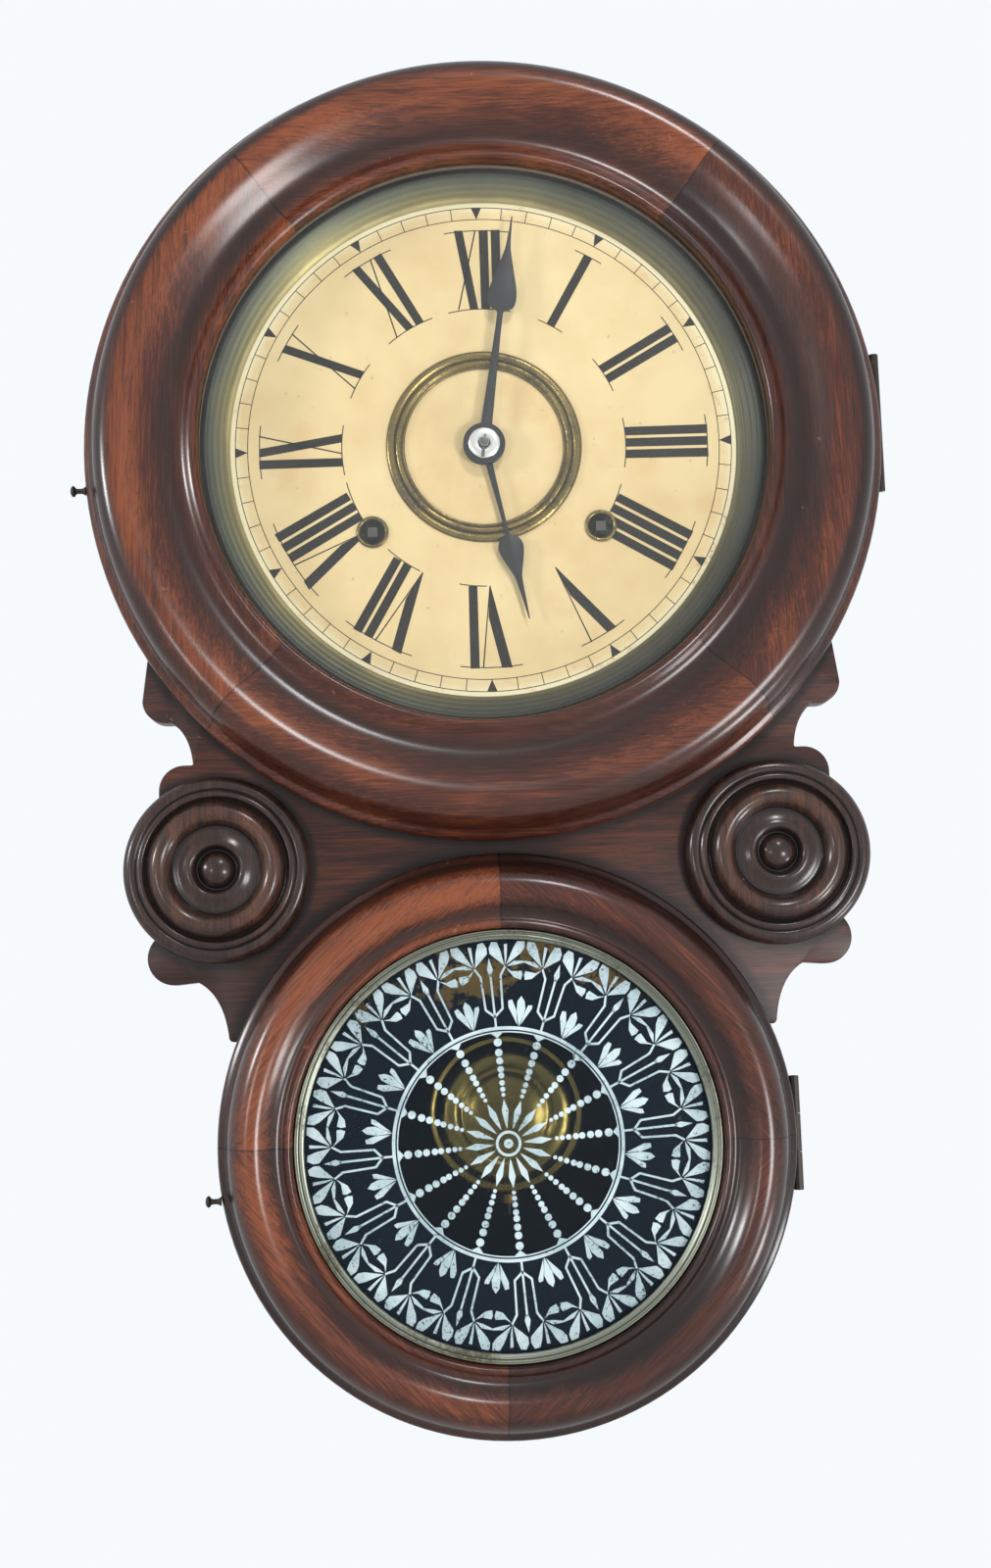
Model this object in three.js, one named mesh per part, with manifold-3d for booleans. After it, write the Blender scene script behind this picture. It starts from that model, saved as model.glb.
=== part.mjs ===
import * as THREE from 'three';
import { mergeVertices } from 'three/addons/utils/BufferGeometryUtils.js';
import Module from 'manifold-3d';

// A figure-eight wall clock with two round doors, in millimetres. X is to the right, +Y goes into
// the wall and Z is up. The origin is on the back face, behind the centre of the dial. A depth is
// measured forward from the back face, so depth d lies at y = -d. A place on the front is [x, z].

const wasm = await Module();
wasm.setup();

// Fits
const seatGap = 0.3;
const runGap = 0.35;

// Sides of the round forms
const upperSides = 44;
const lowerSides = 36;
const rosetteSides = 28;
const arborSides = 6;

// Case
const doorGap = 5.1;
const backBoardThick = 9;
const frontBoardThick = 12;
const upperHoopRadius = 138;
const lowerHoopRadius = 98;
const hoopWall = 8;
const waistPassage = 52;
const waistBlockWall = 12;
const boardUpperRadius = 159.5;
const boardLowerRadius = 111;
const boardUpperHole = 98;
const boardLowerHole = 86;

// Scrolled ears of the front board: three round lobes on each side, with a hollow between
const lobeOne = { x: 132.7, z: -101.4, r: 9 };
const lobeTwo = { x: 125.4, z: -138.2, r: 10.2 };
const lobeThree = { x: 130.3, z: -205.3, r: 10.8 };
const hollowOne = { startX: 130, bendX: 122.6, bendZ: -115.5, endX: 121.7, endZ: -128 };
const hollowTwo = { startX: 121, bendX: 110.8, bendZ: -221, endX: 109.2, endZ: -238.4 };
const earStep = 0.9;

// Rosettes
const rosetteRadius = 37.2;
const rosetteRise = 10.2;
const rosetteUpperGap = 4.47;
const rosetteLowerGap = 6.8;

// Doors
const upperDoorRadius = 162.8;
const upperDoorBore = 115.2;
const lowerDoorRadius = 114.1;
const lowerRingWidth = 29.4;
const flangeRise = 7;
const lipRise = 13;
const rabbetWall = 3.3;
const glassThick = 2;
const glassSeatRise = 10.7;
const retainerThick = 3.4;
const retainerWidth = 2.8;
const brassRingWidth = 4;
const brassRingThick = 2.2;
const pullHeadRadius = 2.3;
const pullShankRadius = 1.2;
const pullReach = 6.2;
const pullRise = 5;
const upperPullZ = -15.3;
const lowerPullDrop = 18.7;

// Door hinges
const hingePinRadius = 0.8;
const knuckleRadius = 2;
const leafThick = 1;
const leafReach = 17;
const upperHingeZ = 5.7;
const upperHingeLength = 58;
const lowerHingeZ = -282.5;
const lowerHingeLength = 45;
const knuckleCount = 3;

// Dial and hands
const dialRadius = 112;
const dialThick = 0.8;
const dialBushHole = 6.2;
const sightInnerRadius = 104;
const sightClearance = 1;
const sightRise = 7.7;
const centreRingInner = 32.6;
const centreRingOuter = 40.2;
const centreRingRise = 1.2;
const windingX = 46.75;
const windingZ = -34.7;
const grommetFlange = 6.6;
const grommetBore = 4.6;
const grommetWall = 0.6;
const minuteHandLength = 97;
const hourHandLength = 74.7;
const handThick = 0.8;
const minuteHandAngle = 8.7;
const hourHandAngle = 167;
const handHubRadius = 8.6;
const washerRadius = 6.4;
const handPinAngle = 82;
const handPinRadius = 0.45;
const handPinLow = 6.1;
const handPinHigh = 3.1;

// Movement frame
const seatBoardThick = 6.4;
const plateThick = 2;
const plateSpace = 32;
const plateHalfWidth = 64;
const plateTop = 57;
const plateBottom = -78;
const pillarRadius = 3.2;
const pillarInset = 6;
const arborRadius = 1.1;
const pivotRadius = 0.7;
const shoulder = 0.4;
const wheelThick = 1.4;
const greatWheelThick = 2;
const pinionWidth = 2.6;
const springWidth = 15;
const springOuterRadius = 22;
const windingArborRadius = 3.4;
const windingSquare = 4;

// Wheel counts and modules
const timeGreatTeeth = 54;
const timeGreatModule = 1.067;
const timeSecondTeeth = 48;
const timeSecondModule = 0.938;
const centreTeeth = 36;
const timeThirdTeeth = 66;
const timeThirdModule = 0.6;
const trainPinion = 6;
const escapeTeeth = 48;
const escapeRadius = 15.5;
const escapeHeight = 20;
const strikeGreatTeeth = 78;
const strikeGreatModule = 0.8;
const strikeSecondTeeth = 42;
const strikeSecondModule = 0.844;
const strikeThirdTeeth = 36;
const strikeThirdModule = 0.836;
const strikeSecondAngle = 75;
const strikeThirdAngle = 80;
const flyAngle = 100;
const liftingPins = 6;
const liftingPinCircle = 13;
const cannonTeeth = 8;
const motionTeeth = 32;
const motionPinion = 8;
const hourTeeth = 24;
const motionModule = 1;
const motionAngle = -60;
const countWheelRadius = 25;
const countNotchDepth = 2.6;
const ratchetTeeth = 12;
const ratchetRadius = 9;
const clickCircle = 17;
const clickAngle = 100;

// Escapement, pendulum and gong
const vergeRise = 22;
const palletClearance = 1.25;
const palletSpread = 45;
const crutchDrop = 20;
const rodRadius = 0.7;
const rodClearance = 1.3;
const rodBow = 8.5;
const rodBowHalf = 17;
const bobZ = -271.8;
const bobRadius = 32;
const bobHalfThick = 3.4;
const bobRoom = 0.8;
const nutRadius = 5;
const nutHeight = 3.2;
const threadBelowNut = 5;
const gongX = 6;
const gongZ = -214;
const gongDepth = 26;
const gongWire = 1.1;
const gongTurns = 4;
const gongInnerRadius = 9;
const gongPitch = 5.8;
const gongPostRadius = 3.2;
const gongBaseRadius = 12;
const gongBaseThick = 5;
const hammerX = -10;
const hammerZ = -20;
const hammerRodDepth = 34;
const hammerHeadRadius = 4.5;
const hammerHeadLength = 10;
const hammerRest = 2;

// Hanger
const hangerZ = 118;
const hangerHalfWidth = 14;
const hangerHalfHeight = 15;
const hangerThick = 1.5;
const hangerHole = 4.6;
const hangerSlot = 2.4;

// Sizes and depths that follow from the values above
const lobeDistance = upperDoorRadius + lowerDoorRadius + doorGap;
const lowerDoorBore = lowerDoorRadius - lowerRingWidth;
const seatBack = backBoardThick + seatGap;
const backPlateBack = seatBack + seatBoardThick + seatGap;
const backPlateFront = backPlateBack + plateThick;
const frontPlateBack = backPlateFront + plateSpace;
const frontPlateFront = frontPlateBack + plateThick;
const springLevel = backPlateFront + 1.5;
const greatLevel = springLevel + springWidth + 2.5;
const ratchetLevel = greatLevel + greatWheelThick + seatGap;
const secondLevel = greatLevel + 5.2;
const timeThirdLevel = springLevel + 10.5;
const escapeLevel = secondLevel + 3.8;
const countLevel = ratchetLevel + 2.4;
const strikeSecondLevel = countLevel + 2.3;
const strikeThirdLevel = backPlateFront + 6;
const flyBladeBack = strikeThirdLevel + 4;
const liftLevel = strikeSecondLevel + wheelThick + seatGap;
const liftingPinLength = 3;
const cannonLevel = frontPlateFront + 1.2;
const motionLevel = cannonLevel + 0.3;
const motionPinionLevel = motionLevel + wheelThick + 0.6;
const motionStudEnd = motionPinionLevel + pinionWidth + 0.4;
const rodDepth = motionStudEnd + rodClearance + rodRadius;
const hoopBack = backBoardThick + seatGap;
const hoopFront = rodDepth + 1.3 * bobHalfThick + bobRoom;
const boardBack = hoopFront + seatGap;
const boardFace = boardBack + frontBoardThick;
const doorBack = boardFace + seatGap;
const dialBack = boardFace + seatGap;
const dialFace = dialBack + dialThick;
const lipBack = doorBack + lipRise;
const glassBack = doorBack + glassSeatRise;
const glassFront = glassBack + glassThick;
const hourLevel = motionPinionLevel + 0.5;
const hourHandLevel = dialFace + 2.5;
const minuteHandLevel = hourHandLevel + handThick + 1.2;
const washerLevel = minuteHandLevel + handThick + seatGap;
const pinLevel = washerLevel + 1.4;
const centreArborTip = pinLevel + 1.1;
const centreArborRadius = 2;
const hourPipeBore = centreArborRadius + runGap;
const hourPipeRadius = hourPipeBore + 1.4;

// ---------------------------------------------------------------- solids and outlines

function mergedMesh(geometry) {
  const bare = geometry.clone();
  bare.deleteAttribute('normal');
  bare.deleteAttribute('uv');
  const merged = mergeVertices(bare, 1e-5);
  const corners = merged.index.array;
  const kept = [];
  for (let i = 0; i < corners.length; i += 3) {
    const [a, b, c] = corners.slice(i, i + 3);
    if (a !== b && b !== c && c !== a) kept.push(a, b, c);
  }
  return { points: merged.attributes.position.array, triangles: kept };
}

function signedVolume({ points, triangles }) {
  const corner = (i) => new THREE.Vector3().fromArray(points, triangles[i] * 3);
  let volume = 0;
  for (let i = 0; i < triangles.length; i += 3) {
    volume += corner(i).dot(corner(i + 1).cross(corner(i + 2)));
  }
  return volume / 6;
}

function solid(geometry) {
  const mesh = mergedMesh(geometry);
  if (signedVolume(mesh) < 0) mesh.triangles.reverse();
  return new wasm.Manifold(new wasm.Mesh({
    numProp: 3,
    vertProperties: new Float32Array(mesh.points),
    triVerts: new Uint32Array(mesh.triangles),
  }));
}

function joined(...solids) {
  return solids.reduce((whole, next) => whole.add(next));
}

function cut(whole, ...tools) {
  return tools.reduce((rest, tool) => rest.subtract(tool), whole);
}

function geometryOf(shape) {
  const mesh = shape.getMesh();
  const geometry = new THREE.BufferGeometry();
  geometry.setAttribute('position', new THREE.BufferAttribute(mesh.vertProperties, 3));
  geometry.setIndex(new THREE.BufferAttribute(mesh.triVerts, 1));
  geometry.computeVertexNormals();
  return geometry;
}

const radians = THREE.MathUtils.degToRad;

function polar([x, z], radius, angle) {
  return [x + radius * Math.cos(angle), z + radius * Math.sin(angle)];
}

function between([ax, az], [bx, bz]) {
  return { length: Math.hypot(bx - ax, bz - az), angle: Math.atan2(bz - az, bx - ax) };
}

// The point at one distance from a and another from b, on the left of the way from a to b
function meeting(a, fromA, b, fromB) {
  const span = between(a, b);
  const along = (fromA ** 2 - fromB ** 2 + span.length ** 2) / (2 * span.length);
  return polar(a, fromA, span.angle + Math.acos(along / fromA));
}

function arc(centre, radius, start, end, steps) {
  const points = [];
  for (let i = 0; i <= steps; i += 1) {
    points.push(polar(centre, radius, start + (end - start) * i / steps));
  }
  return points;
}

function circle(centre, radius, sides) {
  return arc(centre, radius, 0, 2 * Math.PI * (1 - 1 / sides), sides - 1);
}

function outline(points) {
  return points.map(([x, z]) => new THREE.Vector2(x, z));
}

// A flat piece between two depths, with holes
function slab(points, back, front, holes = []) {
  const shape = new THREE.Shape(outline(points));
  shape.holes = holes.map((hole) => new THREE.Path(outline(hole)));
  const geometry = new THREE.ExtrudeGeometry(shape, { depth: front - back, bevelEnabled: false });
  geometry.translate(0, 0, back);
  geometry.rotateX(Math.PI / 2);
  return solid(geometry);
}

function block([x0, x1], [back, front], [z0, z1]) {
  return slab([[x0, z0], [x1, z0], [x1, z1], [x0, z1]], back, front);
}

// A turned piece on an axis that runs front to back; the profile is [radius, depth]
function turned(profile, sides, [x, z] = [0, 0]) {
  const points = profile.map(([radius, depth]) => new THREE.Vector2(radius, -depth));
  if (profile[0][0] > 0) points.push(points[0].clone());
  const geometry = new THREE.LatheGeometry(points, sides);
  geometry.translate(x, 0, z);
  return solid(geometry);
}

function drum(centre, radius, back, front, sides) {
  return turned([[0, back], [radius, back], [radius, front], [0, front]], sides, centre);
}

// A round bar between two places, each [x, depth, z]
function bar(from, to, radius, sides = 8) {
  const start = new THREE.Vector3(from[0], -from[1], from[2]);
  const end = new THREE.Vector3(to[0], -to[1], to[2]);
  const geometry = new THREE.CylinderGeometry(radius, radius, start.distanceTo(end), sides);
  const up = new THREE.Vector3(0, 1, 0);
  const along = end.clone().sub(start).normalize();
  geometry.applyQuaternion(new THREE.Quaternion().setFromUnitVectors(up, along));
  geometry.translate(...start.add(end).multiplyScalar(0.5).toArray());
  return solid(geometry);
}

function tube(curve, radius, sides, steps) {
  const section = new THREE.Shape(outline(circle([0, 0], radius, sides)));
  return solid(new THREE.ExtrudeGeometry(section, { extrudePath: curve, steps, curveSegments: 1 }));
}

// The circle that a round hole needs so that a shaft of this radius runs in it
function holeFor(radius, sides) {
  return (radius + runGap) / Math.cos(Math.PI / sides);
}

// ---------------------------------------------------------------- wheels

const tipHeight = 0.85;
const rootDepth = 1.15;
const leafSpread = 0.29;

// Teeth from root to tip; a spread of half a pitch leaves no floor between two of them
function toothed(centre, teeth, module, phase, spread) {
  const pitch = 2 * Math.PI / teeth;
  const root = (teeth / 2 - rootDepth) * module;
  const tip = (teeth / 2 + tipHeight) * module;
  const points = [];
  for (let i = 0; i < teeth; i += 1) {
    const angle = phase + i * pitch;
    if (spread < 0.5) points.push(polar(centre, root, angle - spread * pitch));
    points.push(polar(centre, tip, angle));
    points.push(polar(centre, root, angle + spread * pitch));
  }
  return points;
}

function sawToothed(centre, teeth, root, tip, phase) {
  const pitch = 2 * Math.PI / teeth;
  const points = [];
  for (let i = 0; i < teeth; i += 1) {
    points.push(polar(centre, tip, phase + i * pitch));
    points.push(polar(centre, root, phase + (i + 0.3) * pitch));
  }
  return points;
}

// Openings between the arms of a wheel
function crossings(centre, hub, rim, arms, armWidth) {
  const openings = [];
  for (let i = 0; i < arms; i += 1) {
    const start = 2 * Math.PI * i / arms;
    const end = start + 2 * Math.PI / arms;
    const outer = arc(centre, rim, start + armWidth / 2 / rim, end - armWidth / 2 / rim, 3);
    const inner = arc(centre, hub, end - armWidth / 2 / hub, start + armWidth / 2 / hub, 1);
    openings.push([...outer, ...inner]);
  }
  return openings;
}

function wheel(centre, teeth, module, phase, back, front, rimInner = 0) {
  const rim = rimInner || (teeth / 2 - rootDepth) * module - 2;
  const arms = rim > 9 ? crossings(centre, 4.5, rim, 4, 2.4) : [];
  return slab(toothed(centre, teeth, module, phase, 0.5), back, front, arms);
}

function pinion(centre, leaves, module, phase, back, front) {
  return slab(toothed(centre, leaves, module, phase, leafSpread), back, front);
}

// The phase that puts wheel b in mesh with wheel a, where b lies at this angle from a
function meshPhase(phaseA, teethA, angle, teethB) {
  const pitchA = 2 * Math.PI / teethA;
  const share = (angle - phaseA) / pitchA;
  return angle + Math.PI + (share - Math.floor(share) - 0.5) * 2 * Math.PI / teethB;
}

function arbor(centre, radius = arborRadius, front = frontPlateFront + 0.6) {
  return turned([
    [0, backPlateBack + seatGap],
    [pivotRadius, backPlateBack + seatGap],
    [pivotRadius, backPlateFront + shoulder],
    [radius, backPlateFront + shoulder],
    [radius, frontPlateBack - shoulder],
    [pivotRadius, frontPlateBack - shoulder],
    [pivotRadius, front],
    [0, front],
  ], arborSides, centre);
}

// ---------------------------------------------------------------- places of the arbors

const pitchSum = (a, b, module) => (a + b) * module / 2;
const centre = [0, 0];
const lowerCentre = [0, -lobeDistance];
const rosetteAt = meeting(
  centre, upperDoorRadius + rosetteRadius + rosetteUpperGap,
  lowerCentre, lowerDoorRadius + rosetteRadius + rosetteLowerGap,
);
const timeGreatAt = [windingX, windingZ];
const strikeGreatAt = [-windingX, windingZ];
const escapeAt = [0, escapeHeight];
const vergeAt = [0, escapeHeight + vergeRise];
const greatToSecond = pitchSum(timeGreatTeeth, trainPinion, timeGreatModule);
const secondToCentre = pitchSum(timeSecondTeeth, centreTeeth, timeSecondModule);
const timeSecondAt = meeting(centre, secondToCentre, timeGreatAt, greatToSecond);
const secondToThird = pitchSum(timeSecondTeeth, trainPinion, timeSecondModule);
const thirdToEscape = pitchSum(timeThirdTeeth, trainPinion, timeThirdModule);
const timeThirdAt = meeting(escapeAt, thirdToEscape, timeSecondAt, secondToThird);
const strikeToSecond = pitchSum(strikeGreatTeeth, trainPinion, strikeGreatModule);
const strikeSecondAt = polar(strikeGreatAt, strikeToSecond, radians(strikeSecondAngle));
const strikeToThird = pitchSum(strikeSecondTeeth, trainPinion, strikeSecondModule);
const strikeThirdAt = polar(strikeSecondAt, strikeToThird, radians(strikeThirdAngle));
const thirdToFly = pitchSum(strikeThirdTeeth, trainPinion, strikeThirdModule);
const flyAt = polar(strikeThirdAt, thirdToFly, radians(flyAngle));
const cannonToMotion = pitchSum(cannonTeeth, motionTeeth, motionModule);
const motionAt = polar(centre, cannonToMotion, radians(motionAngle));
const hourModule = 2 * cannonToMotion / (motionPinion + hourTeeth);
const hammerAt = [hammerX, hammerZ];
const postAt = [0, vergeAt[1] + 5];
const arborPlaces = [
  timeSecondAt, timeThirdAt, escapeAt, strikeSecondAt, strikeThirdAt, flyAt, hammerAt,
];

const phaseFrom = (at, teeth, phase, next, nextTeeth) => meshPhase(phase, teeth,
  between(at, next).angle, nextTeeth);
const timeSecondPhase = phaseFrom(timeGreatAt, timeGreatTeeth, 0, timeSecondAt, trainPinion);
const centrePhase = phaseFrom(timeSecondAt, timeSecondTeeth, timeSecondPhase, centre, centreTeeth);
const timeThirdPhase = phaseFrom(timeSecondAt, timeSecondTeeth, timeSecondPhase, timeThirdAt,
  trainPinion);
const escapePhase = phaseFrom(timeThirdAt, timeThirdTeeth, timeThirdPhase, escapeAt, trainPinion);
const strikeSecondPhase = phaseFrom(strikeGreatAt, strikeGreatTeeth, 0, strikeSecondAt,
  trainPinion);
const strikeThirdPhase = phaseFrom(strikeSecondAt, strikeSecondTeeth, strikeSecondPhase,
  strikeThirdAt, trainPinion);
const flyPhase = phaseFrom(strikeThirdAt, strikeThirdTeeth, strikeThirdPhase, flyAt, trainPinion);
const motionPhase = meshPhase(0, cannonTeeth, radians(motionAngle), motionTeeth);
const hourPhase = meshPhase(motionPhase, motionPinion, radians(motionAngle) + Math.PI, hourTeeth);

// ---------------------------------------------------------------- case

function backBoard() {
  const board = joined(
    drum(centre, upperHoopRadius, 0, backBoardThick, upperSides),
    drum(lowerCentre, lowerHoopRadius, 0, backBoardThick, lowerSides),
    block([-waistPassage - waistBlockWall, waistPassage + waistBlockWall], [0, backBoardThick],
      [lowerCentre[1], 0]),
  );
  const pocketX = hangerHalfWidth + seatGap;
  const pocketZ = hangerHalfHeight + seatGap;
  const pocket = block([-pocketX, pocketX], [-1, hangerThick + 2 * seatGap],
    [hangerZ - pocketZ, hangerZ + pocketZ]);
  const hookRoom = block([-hangerHole - 3, hangerHole + 3], [-1, backBoardThick + 1],
    [hangerZ - hangerHalfHeight + 3, hangerZ + hangerHalfHeight - 3]);
  return cut(board, pocket, hookRoom);
}

// A bent hoop with a gap where the waist joins it
function hoop(middle, radius, gapSide) {
  const ring = turned([
    [radius - hoopWall, hoopBack],
    [radius, hoopBack],
    [radius, hoopFront],
    [radius - hoopWall, hoopFront],
  ], upperSides, middle);
  const gap = block([-waistPassage, waistPassage], [hoopBack - 1, hoopFront + 1],
    [middle[1], middle[1] + gapSide * (radius + 1)].sort((a, b) => a - b));
  return cut(ring, gap);
}

function waistBlock(side) {
  const inner = side * waistPassage;
  const outer = side * (waistPassage + waistBlockWall);
  return cut(
    block([inner, outer].sort((a, b) => a - b), [hoopBack, hoopFront], [lowerCentre[1], 0]),
    drum(centre, upperHoopRadius + runGap, hoopBack - 1, hoopFront + 1, upperSides),
    drum(lowerCentre, lowerHoopRadius + runGap, hoopBack - 1, hoopFront + 1, upperSides),
  );
}

function earOutline() {
  const upperEnd = Math.atan2(lobeOne.z + lobeOne.r * 2.3, lobeOne.x + lobeOne.r);
  const stepZ = hollowTwo.endZ - earStep;
  const lowerStart = Math.asin((stepZ - lowerCentre[1]) / boardLowerRadius);
  const bend = (from, control, to) => new THREE.QuadraticBezierCurve(
    ...outline([from, control, to])).getPoints(4).map((p) => [p.x, p.y]);
  return [
    ...arc(centre, boardUpperRadius, Math.PI / 2, upperEnd, 16),
    ...arc([lobeOne.x, lobeOne.z], lobeOne.r, 0, -Math.PI / 2, 4),
    ...bend([hollowOne.startX, lobeOne.z - lobeOne.r], [hollowOne.bendX, hollowOne.bendZ],
      [hollowOne.endX, hollowOne.endZ]),
    ...arc([lobeTwo.x, lobeTwo.z], lobeTwo.r, Math.PI / 2, 0, 4),
    ...arc([lobeThree.x, lobeThree.z], lobeThree.r, radians(55), -Math.PI / 2, 6),
    ...bend([hollowTwo.startX, lobeThree.z - lobeThree.r + 0.8],
      [hollowTwo.bendX, hollowTwo.bendZ], [hollowTwo.endX, hollowTwo.endZ]),
    [hollowTwo.endX - 1, stepZ],
    ...arc(lowerCentre, boardLowerRadius, lowerStart, -Math.PI / 2, 15),
  ];
}

function frontBoard() {
  const right = earOutline();
  const left = right.slice(1, -1).reverse().map(([x, z]) => [-x, z]);
  const board = slab([...right, ...left].reverse(), boardBack, boardFace, [
    circle(centre, boardUpperHole, 32),
    circle(lowerCentre, boardLowerHole, 32),
  ]);
  return cut(board, leafRecess(upperHinge, -1), leafRecess(lowerHinge, -1));
}

function rosette(side) {
  const ring = (share, rise) => [share * rosetteRadius, doorBack + rise * rosetteRise];
  const [x, z] = rosetteAt;
  return turned([
    ring(0, 0), ring(1, 0), ring(1, 0.33), ring(0.96, 0.57), ring(0.81, 0.71), ring(0.77, 0.55),
    ring(0.72, 0.78), ring(0.63, 1), ring(0.54, 0.86), ring(0.5, 0.61), ring(0.465, 0.71),
    ring(0.36, 0.59), ring(0.26, 0.8), ring(0.2, 0.45), ring(0.1, 0.41), ring(0.05, 0.57),
    ring(0, 0.63),
  ], rosetteSides, [side * x, z]);
}

function wallHanger() {
  const low = hangerZ - hangerHole;
  const keyhole = [
    ...arc([0, low], hangerHole, radians(122), radians(418), 10),
    ...arc([0, low + 2.4 * hangerHole], hangerSlot, 0, Math.PI, 5),
  ];
  const half = hangerHalfWidth;
  const plate = slab([
    [-half, hangerZ - hangerHalfHeight],
    [half, hangerZ - hangerHalfHeight],
    [half, hangerZ + hangerHalfHeight],
    [-half, hangerZ + hangerHalfHeight],
  ], seatGap, seatGap + hangerThick);
  return cut(plate, slab(keyhole, 0, seatGap + hangerThick + 1));
}

function seatBoard() {
  return block([-plateHalfWidth + 10, plateHalfWidth - 10], [seatBack, seatBack + seatBoardThick],
    [plateBottom + 12, plateTop - 8]);
}

// ---------------------------------------------------------------- doors

const upperHinge = {
  x: upperDoorRadius, z: upperHingeZ, length: upperHingeLength,
};
const lowerHinge = {
  x: lowerDoorRadius + knuckleRadius / 4, z: lowerHingeZ, length: lowerHingeLength,
};
const hingeDepth = (boardFace + doorBack) / 2;

// The recess for a leaf: side -1 in the board's face, side 1 in the door's back
function leafRecess(hinge, side) {
  const deep = hingeDepth + side * (seatGap / 2 + leafThick + seatGap);
  const knuckleRoom = bar([hinge.x, hingeDepth, hinge.z - hinge.length / 2 - seatGap],
    [hinge.x, hingeDepth, hinge.z + hinge.length / 2 + seatGap], knuckleRadius + 2 * seatGap, 10);
  const shelf = block([hinge.x - leafReach - seatGap, hinge.x + knuckleRadius],
    [deep, hingeDepth].sort((a, b) => a - b),
    [hinge.z - hinge.length / 2 - seatGap, hinge.z + hinge.length / 2 + seatGap]);
  return joined(knuckleRoom, shelf);
}

// Knuckles alternate between the two leaves, and the case leaf carries the pin
function hingeLeaf(hinge, side) {
  const pitch = hinge.length / knuckleCount;
  const bottom = hinge.z - hinge.length / 2;
  const near = hingeDepth + side * seatGap / 2;
  const far = near + side * leafThick;
  const web = block([hinge.x - leafReach, hinge.x - knuckleRadius - 2 * seatGap],
    [near, far].sort((a, b) => a - b), [bottom, bottom + hinge.length]);
  const pieces = [web];
  for (let i = 0; i < knuckleCount; i += 1) {
    if ((i % 2 === 0) === (side < 0)) {
      const low = bottom + i * pitch + seatGap / 2;
      const high = bottom + (i + 1) * pitch - seatGap / 2;
      pieces.push(bar([hinge.x, hingeDepth, low], [hinge.x, hingeDepth, high], knuckleRadius, 10));
      pieces.push(block([hinge.x - knuckleRadius - 1, hinge.x - hingePinRadius - 0.6],
        [near, far].sort((a, b) => a - b), [low, high]));
    }
  }
  const leaf = joined(...pieces);
  const reach = hinge.length / 2;
  const axis = (radius, sides) => bar([hinge.x, hingeDepth, hinge.z - reach],
    [hinge.x, hingeDepth, hinge.z + reach], radius, sides);
  if (side < 0) return joined(leaf, axis(hingePinRadius, 8));
  const bore = bar([hinge.x, hingeDepth, hinge.z - reach - 1],
    [hinge.x, hingeDepth, hinge.z + reach + 1], hingePinRadius + seatGap, 8);
  return cut(leaf, bore);
}

// The turned moulding of a door: a flange, a crest near the edge, a hollow and an inner bead
function doorRing(middle, radius, bore, crest, bead, sides, hinge) {
  const width = radius - bore - crest.inset;
  const at = (share, rise) => [radius - crest.inset - share * width, doorBack + rise];
  const hollow = (crest.rise + bead.rise) / 2 - bead.hollow;
  const ring = turned([
    [bore + rabbetWall, doorBack],
    [radius, doorBack],
    [radius, doorBack + flangeRise],
    [radius - crest.inset * 0.45, doorBack + flangeRise + 3],
    at(0, flangeRise + 7),
    at(0, crest.rise - 6.2),
    at(0.045, crest.rise - 2.4),
    at(crest.share, crest.rise),
    at(0.46, (crest.rise + hollow) / 2 + 0.6),
    at(0.62, hollow),
    at(0.84, bead.rise),
    at(0.95, bead.rise - 1.2),
    at(1, bead.rise - 4),
    [bore, lipBack],
    [bore + rabbetWall, lipBack],
  ], sides, middle);
  return cut(ring, leafRecess(hinge, 1));
}

const upperCrest = { inset: 5.8, share: 0.155, rise: 25.7 };
const lowerCrest = { inset: 5.5, share: 0.2, rise: 23.5 };
const upperBead = { rise: 20.6, hollow: 5.8 };
const lowerBead = { rise: 20, hollow: 4.2 };

function glass(middle, bore, sides) {
  return drum(middle, bore + rabbetWall - seatGap, glassBack, glassFront, sides);
}

function glassRetainer(middle, bore, sides) {
  const outer = bore + rabbetWall - seatGap;
  const front = glassBack - seatGap;
  return turned([
    [outer - retainerWidth, front],
    [outer, front],
    [outer, front - retainerThick],
    [outer - retainerWidth + 0.8, front - retainerThick],
  ], sides, middle);
}

function lowerBrassRing() {
  const outer = lowerDoorBore - seatGap;
  const back = glassFront + seatGap;
  return turned([
    [outer - brassRingWidth, back],
    [outer, back],
    [outer, back + brassRingThick],
    [outer - brassRingWidth / 2, back + brassRingThick],
  ], lowerSides, lowerCentre);
}

// A small round pull that stands out sideways from the door's edge
function pull(middle, radius, z) {
  const depth = doorBack + pullRise;
  const surface = Math.sqrt(radius ** 2 - (z - middle[1]) ** 2);
  const profile = [
    [0, 0],
    [pullShankRadius, 0],
    [pullShankRadius, pullReach - 2],
    [pullHeadRadius, pullReach - 1.6],
    [pullHeadRadius, pullReach - 0.9],
    [pullHeadRadius * 0.6, pullReach - 0.2],
    [0, pullReach],
  ].map(([r, reach]) => new THREE.Vector2(r, reach));
  const geometry = new THREE.LatheGeometry(profile, 10);
  geometry.rotateZ(Math.PI / 2);
  geometry.translate(-surface - seatGap, -depth, z);
  return solid(geometry);
}

// ---------------------------------------------------------------- dial and hands

function dialPlate() {
  return slab(circle(centre, dialRadius, upperSides), dialBack, dialFace, [
    circle(centre, dialBushHole, 12),
    circle(timeGreatAt, grommetBore + grommetWall + seatGap, 16),
    circle(strikeGreatAt, grommetBore + grommetWall + seatGap, 16),
  ]);
}

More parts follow.
